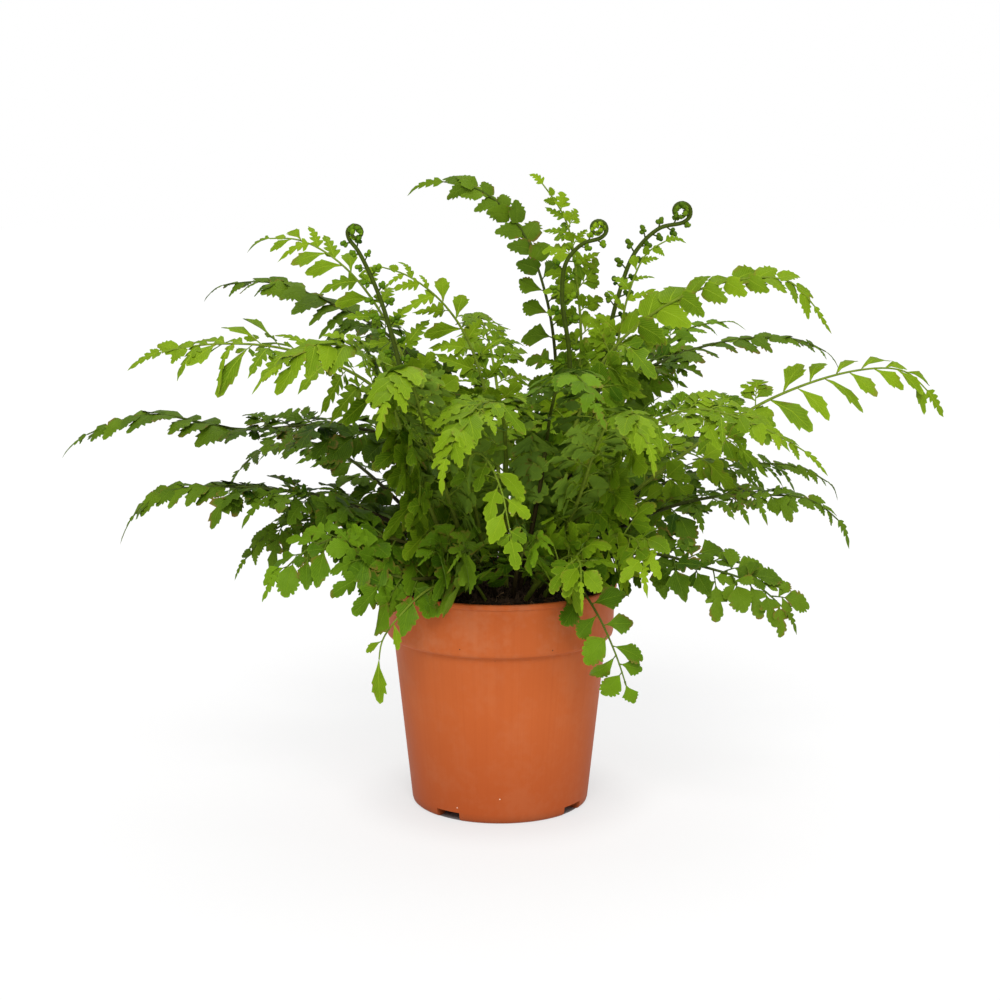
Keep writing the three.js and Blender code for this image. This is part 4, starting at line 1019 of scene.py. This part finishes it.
# Its colours and its marks, and a painted shade at its foot. Shares say how strongly a mark shows. A step is
# (edge, half width), as on the leaves. Heights, the reach of the painted foot shade and chalkUnder are in
# metres. Rarities: the share of the cells without a fleck.
potLook = {
    "body": (0.43, 0.092, 0.02, 1), "pale": (0.455, 0.106, 0.027, 1), "deep": (0.325, 0.06, 0.0135, 1),
    "dust": (0.5, 0.33, 0.2, 1), "grime": (0.07, 0.035, 0.018, 1), "chalk": (0.85, 0.7, 0.55, 1),
    "clouds": (22.0, 3.0, 2.4), "roughness": (0.44, 0.6), "specular": 0.07, "streaksAround": 9.0,
    "streaks": 4.0, "streakFrom": (0.56, 0.14), "streakShare": 0.16, "footShadeHeight": 0.06, "footShadeShare": 0.8,
    "markHeight": (0.108, 0.006), "marks": (45.0, 4.0, 3.0), "markFrom": (0.5, 0.3), "markShare": 0.5,
    "bandHeight": (0.088, 0.003), "haze": (60.0, 5.0, 2.5), "hazeFrom": (0.62, 0.2),
    "hazeShares": (0.04, 0.1), "footHeight": (0.0025, 0.0025), "grimeShare": 0.35, "flecks": 420.0,
    "fleckSize": 0.16, "chalkUnder": 0.016, "chalkRarity": 0.965, "soilRarity": 0.985,
    "grain": (900.0, 3.0, 1.0), "streakGrain": 0.6, "relief": (0.12, 0.0002)}


# Replaces each corner of a profile, (radius, height, rounding), by a curve of a few points.
def roundedProfile(corners, steps=3):
    points = []
    for k, (radius, height, rounding) in enumerate(corners):
        here = Vector((radius, height))
        if not rounding:
            points.append(here)
            continue
        before = (Vector(corners[k - 1][:2]) - here).normalized() * rounding
        after = (Vector(corners[k + 1][:2]) - here).normalized() * rounding
        for j in range(steps + 1):
            t = j / steps
            points.append(here + before * (1 - t) ** 2 + after * t ** 2)
    return points


# A closed turned mesh from a profile in mm that starts and ends on the axis; shift moves each point.
def turnedMesh(name, profile, sides, shift=None):
    vertices, rings = [], []
    for radius, height in profile:
        around = sides if radius else 1
        rings.append(range(len(vertices), len(vertices) + around))
        for k in range(around):
            turn = 2 * math.pi * k / sides
            point = Vector((radius * math.cos(turn), radius * math.sin(turn), height))
            vertices.append((shift(point) if shift else point) * mm)
    faces = []
    for low, high in zip(rings, rings[1:]):
        for k in range(sides):
            below = [low[j % len(low)] for j in (k, k + 1)]
            above = [high[j % len(high)] for j in (k + 1, k)]
            faces.append(tuple(dict.fromkeys(below + above)))
    mesh = bpy.data.meshes.new(name)
    mesh.from_pydata(vertices, [], faces, shade_flat=False)
    return mesh


def makePotMaterial():
    look = potLook
    material, tree, shader = newMaterial("pot_plastic", 0.5, look["specular"])
    place = addNode(tree, "ShaderNodeTexCoord")["Object"]
    x, y, z = separated(place)
    cloud = mottled(tree, *look["clouds"])
    body = mixed(cloud, look["body"], look["pale"])
    # Faint upright streaks from the mould.
    around = calc("ARCTAN2", y, x) * look["streaksAround"]
    streaks = noisy(combined(around, 0.0, z), look["streaks"], 4.0)[0]
    body = mixed(step(streaks, *look["streakFrom"]) * look["streakShare"], body, look["deep"])
    # Painted shade: the wall darkens towards the foot, where less light falls on it.
    body = mixed(lerp(z / look["footShadeHeight"], look["footShadeShare"], 0.0), body, look["deep"])
    # Water marks under the lip, dust that is thicker on the band, and grime at the foot.
    marks = step(z, *look["markHeight"]) * step(mottled(tree, *look["marks"]), *look["markFrom"])
    body = mixed(marks * look["markShare"], body, look["deep"])
    band = step(z, *look["bandHeight"])
    haze = step(mottled(tree, *look["haze"]), *look["hazeFrom"]) * lerp(band, *look["hazeShares"])
    body = mixed(haze, body, look["dust"])
    foot = 1.0 - step(z, *look["footHeight"])
    body = mixed(foot * look["grimeShare"], body, look["grime"])
    # A few chalky flecks near the foot and soil flecks on the band.
    cells = addNode(tree, "ShaderNodeTexVoronoi", {"Vector": place, "Scale": look["flecks"]})
    dots = cells["Distance"] < look["fleckSize"]
    rare = addNode(tree, "ShaderNodeSeparateColor", {0: cells["Color"]})
    chalk = dots * (z < look["chalkUnder"]) * (rare[0] > look["chalkRarity"])
    body = mixed(chalk, body, look["chalk"])
    body = mixed(dots * band * (rare[1] > look["soilRarity"]), body, look["grime"])
    grain = mottled(tree, *look["grain"]) + streaks * look["streakGrain"]
    coated(shader, body, lerp(cloud, *look["roughness"]), grain, look["relief"])
    return material


# Cuts notches out of the foot and round holes out of the floor, each ring of cutters placed by a circle.
def makePotTree():
    tree, given = newTree("pot", "GeometryNodeTree", {
        "Geometry": "Geometry", "notches": 4, "notchSize": (0, 0, 0), "notchPlace": 0.04, "notchTurn": 0.0,
        "drains": 6, "drainSides": 24, "drainRadius": 0.004, "drainCircle": 0.03, "drainDepth": 0.012,
        "floorHeight": 0.004, "plastic": "Material"}, {"Geometry": "Geometry"})
    ring = addNode(tree, "GeometryNodeMeshCircle", {0: given["notches"], 1: given["notchPlace"]})[0]
    position = addNode(tree, "GeometryNodeInputPosition")[0]
    outward = addNode(tree, "FunctionNodeAlignRotationToVector", {2: position}, axis="X")[0]
    box = addNode(tree, "GeometryNodeMeshCube", {0: given["notchSize"]})[0]
    notches = addNode(tree, "GeometryNodeInstanceOnPoints", {
        "Points": ring, "Instance": box, "Rotation": outward})[0]
    turn = addNode(tree, "FunctionNodeAxisAngleToRotation", {0: (0, 0, 1), 1: given["notchTurn"]})[0]
    notches = addNode(tree, "GeometryNodeTransform", {"Geometry": notches, "Rotation": turn})[0]
    circle = addNode(tree, "GeometryNodeMeshCircle", {0: given["drains"], 1: given["drainCircle"]})[0]
    drill = addNode(tree, "GeometryNodeMeshCylinder", {
        0: given["drainSides"], 3: given["drainRadius"], 4: given["drainDepth"]})[0]
    drains = addNode(tree, "GeometryNodeInstanceOnPoints", {"Points": circle, "Instance": drill})[0]
    rise = combined(0.0, 0.0, given["floorHeight"])
    drains = addNode(tree, "GeometryNodeTransform", {"Geometry": drains, "Translation": rise})[0]
    carved = addNode(tree, "GeometryNodeMeshBoolean", {0: given["Geometry"]}, operation="DIFFERENCE",
                     solver="EXACT")[0]
    for cutter in (notches, drains):
        tree.links.new(realised(cutter).socket, carved.socket.node.inputs[1])
    addNode(tree, "NodeGroupOutput", {"Geometry": painted(realised(carved), given["plastic"])})
    return tree


def makePot():
    lowest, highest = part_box("pot")
    height, lip = highest[2] / mm, (highest[0] - lowest[0]) / 2 / mm
    foot, wall, under = pot["footRadius"], pot["wall"], pot["floorUnder"]
    floorTop = under + wall
    band = lip - pot["lipOverhang"]
    bandLow = band - pot["bandTaper"]
    wallTop = bandLow - pot["shoulder"]
    bandFoot, lipFoot = height - pot["bandHeight"], height - pot["lipHeight"]
    slope = (wallTop - foot) / bandFoot
    ringIn = foot - pot["footInset"] - pot["footRing"]
    # (radius, height, rounding) from the floor's underside round the outside to the floor's top.
    corners = [(0, under, 0), (ringIn - 1, under, 0.8), (ringIn, 0, 0.5), (foot, 0, 2.4)]
    corners += [(foot + slope * rise, rise, 0) for rise in pot["wallRings"]]
    corners += [(wallTop, bandFoot - 0.2, 0.8), (bandLow, bandFoot + 0.3, 2.4), (band, lipFoot, 0.4),
                (lip, lipFoot + 0.1, 0.5), (lip, height, 0.9), (band - wall, height, 0.9),
                (bandLow - wall, bandFoot + 1.6, 1.5), (wallTop - wall, bandFoot - 2.2, 1.5),
                (foot + slope * floorTop - wall, floorTop, 1.2), (0, floorTop, 0)]
    values = {
        "notches": pot["notches"], "notchPlace": (foot - pot["notchDepth"] / 3) * mm,
        "notchSize": [pot["notchDepth"] * mm, pot["notchWidth"] * mm, 2 * pot["notchHeight"] * mm],
        "notchTurn": math.radians(pot["notchTurn"]), "drains": pot["drains"],
        "drainSides": pot["drainSides"], "drainRadius": pot["drainRadius"] * mm,
        "drainCircle": pot["drainCircle"] * mm, "drainDepth": pot["drainDepth"] * mm,
        "floorHeight": under * mm, "plastic": makePotMaterial()}
    start = turnedMesh("pot", roundedProfile(corners), pot["sides"])
    piece = grown("pot_moulded", start, makePotTree(), values)
    piece.data.set_sharp_from_angle(angle=math.radians(pot["sharpFrom"]))
    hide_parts("pot")
    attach(piece, "root")
    print("pot ready:", len(piece.data.polygons), "faces")


makePot()

# The soil's heap in mm and what lies on it. shapes: how many are made. size, length, radius: in mm. strewn:
# (how many to a square mm, smallest, largest, how far they tilt in radians).
soil = {"level": 110.0, "edge": 56.4, "floor": 6.4, "side": ((41.0, 6.4), (51.8, 85.6), (55.4, 91.4)),
        "hollow": 29.2, "hollowFoot": 20.6, "hollowFloor": 100.4, "lumps": 1.6, "lumpScales": (0.13, 0.37),
        "sides": 120, "rings": 15, "strewnFrom": 2.4, "strewnEdge": 1.6, "seed": 5,
        "crumbs": {"shapes": 6, "size": 0.9, "stretch": (1, 1, 0.8), "strewn": (0.22, 0.5, 1.7, 1.2)},
        "bark": {"shapes": 5, "size": 2.0, "stretch": (1.5, 0.8, 0.4), "strewn": (0.016, 0.6, 1.5, 0.5)},
        "roots": {"shapes": 5, "length": 18, "radius": 0.22, "strewn": (0.006, 0.6, 1.3, 0.3)}}
crown = {"radius": 28.5, "bottom": 101.0, "shoulder": 108.5, "dome": 110.0, "top": 115.6, "knobs": 2.4,
         "knobScales": (0.16, 0.5), "sides": 72, "rings": 14, "strewnFrom": 0.5, "seed": 9,
         "scales": {"shapes": 5, "length": (2.6, 4.6), "half": (0.28, 0.45), "thick": 0.12,
                    "bend": (0.2, 0.9), "strewn": (0.35, 0.6, 1.2, 1.1)},
         "stubs": {"shapes": 4, "size": 1.3, "stretch": (1, 1, 1.5), "strewn": (0.02, 0.7, 1.2, 0.6)},
         "hairs": {"shapes": 4, "length": 8, "radius": 0.12, "strewn": (0.03, 0.7, 1.3, 0.5)}}
thread = {"sides": 5, "stops": 9, "wander": 0.7, "arch": 0.16}
# Each earth: its dark and its light colour, the scale of its patches and the depth of its relief in metres.
earths = {
    "potting_soil": ((0.014, 0.009, 0.005, 1), (0.042, 0.026, 0.014, 1), 300.0, 0.0012),
    "bark_bits": ((0.014, 0.009, 0.005, 1), (0.11, 0.055, 0.025, 1), 500.0, 0.0006),
    "dry_roots": ((0.11, 0.055, 0.025, 1), (0.3, 0.2, 0.1, 1), 400.0, 0.0002),
    "rhizome": ((0.035, 0.02, 0.01, 1), (0.07, 0.042, 0.02, 1), 240.0, 0.001),
    "rhizome_scales": ((0.022, 0.012, 0.007, 1), (0.035, 0.02, 0.01, 1), 600.0, 0.0002)}
# What all the earths share; patches: (how much finer the small ones are, contrast).
earthSkin = {"specular": 0.2, "patches": (5.0, 2.6), "roughness": (0.72, 0.98), "relief": 0.6}


def makeEarthMaterial(name):
    dark, bright, scale, depth = earths[name]
    look = earthSkin
    material, tree, shader = newMaterial(name, 0.9, look["specular"])
    cloud = mottled(tree, scale, *look["patches"])
    roughness = lerp(cloud, *look["roughness"])
    coated(shader, mixed(cloud, dark, bright), roughness, cloud, (look["relief"], depth))
    return material


def lumpMesh(name, chance, look):
    mesh = bpy.data.meshes.new(name)
    work = bmesh.new()
    bmesh.ops.create_icosphere(work, subdivisions=1, radius=look["size"] * mm)
    for point in work.verts:
        point.co *= chance.uniform(0.7, 1.15)
        point.co = Vector(a * b for a, b in zip(point.co, look["stretch"]))
    work.to_mesh(mesh)
    work.free()
    return bpy.data.objects.new(name, mesh)


# An object from corners and faces, its faces turned outwards.
def outwardMesh(name, vertices, faces):
    mesh = bpy.data.meshes.new(name)
    mesh.from_pydata(vertices, [], faces, shade_flat=False)
    work = bmesh.new()
    work.from_mesh(mesh)
    bmesh.ops.recalc_face_normals(work, faces=work.faces)
    work.to_mesh(mesh)
    work.free()
    return bpy.data.objects.new(name, mesh)


# A thin round thread along a wandering path; used for loose roots and hairs.
def threadMesh(name, chance, look):
    sides, stops, length, radius = thread["sides"], thread["stops"], look["length"], look["radius"]
    middle, heading = Vector((0, 0, radius)), chance.uniform(0, 6)
    vertices, faces = [], []
    for stop in range(stops):
        across = Vector((-math.sin(heading), math.cos(heading), 0))
        for k in range(sides):
            turn = 2 * math.pi * k / sides
            away = across * math.cos(turn) + Vector((0, 0, math.sin(turn)))
            vertices.append((middle + radius * away) * mm)
        heading += chance.uniform(-thread["wander"], thread["wander"])
        rise = length * thread["arch"] * math.sin(math.pi * stop / (stops - 1)) * chance.uniform(0.2, 1)
        middle = middle + Vector((math.cos(heading), math.sin(heading), 0)) * length / stops
        middle.z = radius + rise
    for stop in range(stops - 1):
        for k in range(sides):
            a, b = stop * sides + k, stop * sides + (k + 1) % sides
            faces.append((a, b, b + sides, a + sides))
    faces.append(tuple(range(sides - 1, -1, -1)))
    faces.append(tuple(range(len(vertices) - sides, len(vertices))))
    return outwardMesh(name, vertices, faces)


# A narrow pointed scale, rooted at 0 and pointing to +Z.
def scaleMesh(name, chance, look):
    length, half, bend = (chance.uniform(*look[key]) for key in ("length", "half", "bend"))
    thick = look["thick"]
    points = [(-half, 0, 0), (half, 0, 0), (half * 0.8, bend * 0.3, length * 0.5), (0, bend, length),
              (-half * 0.8, bend * 0.3, length * 0.5), (0, thick, length * 0.3), (0, -thick, length * 0.3)]
    sides = [(0, 1), (1, 2), (2, 3), (3, 4), (4, 0)]
    faces = [(a, b, 6) for a, b in sides] + [(b, a, 5) for a, b in sides]
    return outwardMesh(name, [Vector(point) * mm for point in points], faces)


# Scatters one kind's pieces over the faces chosen, turned at random, standing off the surface by its tilt.
def scattered(given, kind, chosen, seed):
    spots = addNode(seed.tree, "GeometryNodeDistributePointsOnFaces", {
        "Mesh": given["Geometry"], "Selection": chosen, "Density": given[kind + "Density"], "Seed": seed})
    spin = combined(draw(0.0, given[kind + "Tilt"], seed + 1), 0.0, draw(0.0, fullTurn, seed + 2))
    spin = addNode(seed.tree, "FunctionNodeEulerToRotation", {0: spin})[0]
    rotation = addNode(seed.tree, "FunctionNodeRotateRotation", {0: spots["Rotation"], 1: spin},
                       rotation_space="LOCAL")[0]
    size = draw(0.0, 1.0, seed + 3)
    size = lerp(size * size, given[kind + "Low"], given[kind + "High"])
    made = planted(spots["Points"], given[kind], anyIndex(seed + 4), size, rotation)
    return painted(realised(made), given[kind + "Material"])


strewKinds = ("small", "middle", "large")


# One tree strews three kinds over a top face: given each kind's pieces, density, sizes and material.
def makeStrewTree():
    inputs = {"Geometry": "Geometry", "above": 0.1, "within": 1.0, "seed": 1, "ground": "Material"}
    for kind in strewKinds:
        inputs |= {kind: "Collection", kind + "Density": 0.0, kind + "Low": 1.0, kind + "High": 1.0,
                   kind + "Tilt": 0.0, kind + "Material": "Material"}
    tree, given = newTree("strew", "GeometryNodeTree", inputs, {"Geometry": "Geometry"})
    x, y, z = separated(addNode(tree, "GeometryNodeInputPosition")[0])
    away = calc("SQRT", x * x + y * y)
    chosen = (z > given["above"]) * (away < given["within"])
    parts = [painted(given["Geometry"], given["ground"])]
    for number, kind in enumerate(strewKinds):
        parts.append(scattered(given, kind, chosen, given["seed"] + 20 * number))
    addNode(tree, "NodeGroupOutput", {"Geometry": joined(*parts)})
    return tree


# Grows a piece with three kinds of bits strewn over it: (label in its dictionary, how one is made, material).
def strewn(name, start, tree, look, values, kinds):
    chance, shelves = random.Random(look["seed"]), []
    values["seed"] = look["seed"]
    for label, (bits, make, material) in zip(strewKinds, kinds):
        pieces = [make(f"{bits}_{k}", chance, look[bits]) for k in range(look[bits]["shapes"])]
        density, low, high, tilt = look[bits]["strewn"]
        shelves.append(newShelf(name + "_" + label, pieces))
        values |= {label: shelves[-1], label + "Density": density / mm ** 2, label + "Low": low,
                   label + "High": high, label + "Tilt": tilt, label + "Material": material}
    piece = grown(name, start, tree, values)
    for kept in shelves:
        clearShelf(kept)
    return piece


def makeSoil(tree):
    level, edge, hollow, rings = soil["level"], soil["edge"], soil["hollow"], soil["rings"]
    profile = [(0, soil["floor"]), *soil["side"]]
    profile += [(edge + (hollow - edge) * k / rings, level) for k in range(rings + 1)]
    profile += [(soil["hollowFoot"], soil["hollowFloor"]), (0, soil["hollowFloor"])]
    coarse, fine = soil["lumpScales"]

    def lumpy(point):
        if point.z < level - 1:
            return point
        rough = noise.noise(point * coarse) + 0.5 * noise.noise(point * fine + Vector((5, 0, 0)))
        return point + Vector((0, 0, soil["lumps"] * rough))

    peat = makeEarthMaterial("potting_soil")
    values = {"above": (level - soil["strewnFrom"]) * mm, "within": (edge - soil["strewnEdge"]) * mm,
              "ground": peat}
    start = turnedMesh("soil", profile, soil["sides"], lumpy)
    piece = strewn("soil_heap", start, tree, soil, values, [
        ("crumbs", lumpMesh, peat), ("bark", lumpMesh, makeEarthMaterial("bark_bits")),
        ("roots", threadMesh, makeEarthMaterial("dry_roots"))])
    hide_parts("soil")
    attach(piece, "root")
    print("soil ready:", len(piece.data.polygons), "faces")


def makeCrown(tree):
    radius, bottom, dome, top = (crown[key] for key in ("radius", "bottom", "dome", "top"))
    profile = [(0, bottom), (radius * 0.7, bottom), (radius * 0.98, crown["shoulder"])]
    for k in range(crown["rings"]):
        turn = math.pi / 2 * k / crown["rings"]
        profile.append((radius * math.cos(turn) ** 0.8, dome + (top - dome) * math.sin(turn)))
    profile.append((0, top))
    coarse, fine = crown["knobScales"]

    def knobbly(point):
        if point.z < dome - 1:
            return point
        bulge = abs(noise.noise(point * coarse)) + 0.5 * noise.noise(point * fine)
        inward = 1 - 0.03 * bulge
        return Vector((point.x * inward, point.y * inward, point.z + crown["knobs"] * (bulge - 0.35)))

    skin, scaleSkin = makeEarthMaterial("rhizome"), makeEarthMaterial("rhizome_scales")
    values = {"above": (dome + crown["strewnFrom"]) * mm, "within": radius * mm, "ground": skin}
    start = turnedMesh("crown", profile, crown["sides"], knobbly)
    piece = strewn("crown_scaly", start, tree, crown, values, [
        ("scales", scaleMesh, scaleSkin), ("stubs", lumpMesh, skin), ("hairs", threadMesh, scaleSkin)])
    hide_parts("crown")
    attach(piece, "root")
    print("crown ready:", len(piece.data.polygons), "faces")


strewTree = makeStrewTree()
makeSoil(strewTree)
makeCrown(strewTree)

# The floor glows all over but under the pot, and less near the pot as a painted contact shadow; distances
# from its middle. Lights: (strength, place, softness in degrees).
studio = {
    "floorSide": 12.0, "floorColour": (0.26, 0.26, 0.26, 1), "floorGlow": 0.7, "glowFrom": 0.0435,
    "contactShadowReach": 0.088, "contactShadowGlow": 0.86, "worldStrength": 0.35,
    "lights": {"sun": (2.2, (-0.06, -1.6, 1.7), 30.0), "front": (0.6, (0.15, -2.0, 0.3), 50.0),
               "skylight": (0.9, (0.1, 0.5, 1.9), 50.0), "right": (0.55, (1.7, -0.8, 0.8), 60.0),
               "left": (0.3, (-1.7, -0.8, 0.8), 60.0)}}
view = {"target": (0.0, 0.0, 0.1576), "distance": 1.077, "pitch": 10.1, "lens": 75.96}


def makeFloor():
    mesh = bpy.data.meshes.new("floor")
    half = studio["floorSide"] / 2
    mesh.from_pydata([(-half, -half, 0), (half, -half, 0), (half, half, 0), (-half, half, 0)], [],
                     [(0, 1, 2, 3)])
    floor = bpy.data.objects.new("floor", mesh)
    bpy.context.scene.collection.objects.link(floor)
    material, tree, shader = newMaterial("floor_paint", 0.7, 0.2)
    shader.inputs["Base Color"].default_value = studio["floorColour"]
    # Painted contact shadow: the glow stops under the pot and is a little weaker near it.
    place = addNode(tree, "ShaderNodeTexCoord")["Object"]
    away = addNode(tree, "ShaderNodeVectorMath", {0: place}, operation="LENGTH")["Value"]
    glow = addNode(tree, "ShaderNodeMapRange", {
        0: away, 1: studio["glowFrom"], 2: studio["contactShadowReach"], 3: studio["contactShadowGlow"], 4: 1.0},
        interpolation_type="SMOOTHSTEP")[0]
    glow = glow * (away > studio["glowFrom"])
    tree.links.new(combined(glow, glow, glow).socket, shader.inputs["Emission Color"])
    shader.inputs["Emission Strength"].default_value = studio["floorGlow"]
    mesh.materials.append(material)


def aimedAt(piece, place, target):
    piece.location = place
    piece.rotation_euler = (Vector(target) - Vector(place)).to_track_quat("-Z", "Y").to_euler()
    bpy.context.scene.collection.objects.link(piece)


def makeStage():
    scene = bpy.context.scene
    makeFloor()
    # The backdrop is plain white to the eye and lights the plant at its own strength.
    world = bpy.data.worlds.new("studio")
    world.use_nodes = True
    tree = world.node_tree
    backdrop = tree.nodes["Background"]
    backdrop.inputs["Color"].default_value = (1, 1, 1, 1)
    seen = addNode(tree, "ShaderNodeLightPath")["Is Camera Ray"]
    tree.links.new(lerp(seen, studio["worldStrength"], 1.0).socket, backdrop.inputs["Strength"])
    scene.world = world
    scene.view_settings.view_transform = "Standard"
    for name, (strength, place, softness) in studio["lights"].items():
        sun = bpy.data.lights.new(name, "SUN")
        sun.energy = strength
        sun.angle = math.radians(softness)
        aimedAt(bpy.data.objects.new(name, sun), place, view["target"])
    lens = bpy.data.cameras.new("camera")
    lens.lens = view["lens"]
    camera = bpy.data.objects.new("camera", lens)
    pitch = math.radians(view["pitch"])
    away = Vector((0, -math.cos(pitch), math.sin(pitch))) * view["distance"]
    aimedAt(camera, Vector(view["target"]) + away, view["target"])
    scene.camera = camera


makeStage()
print("stage ready")
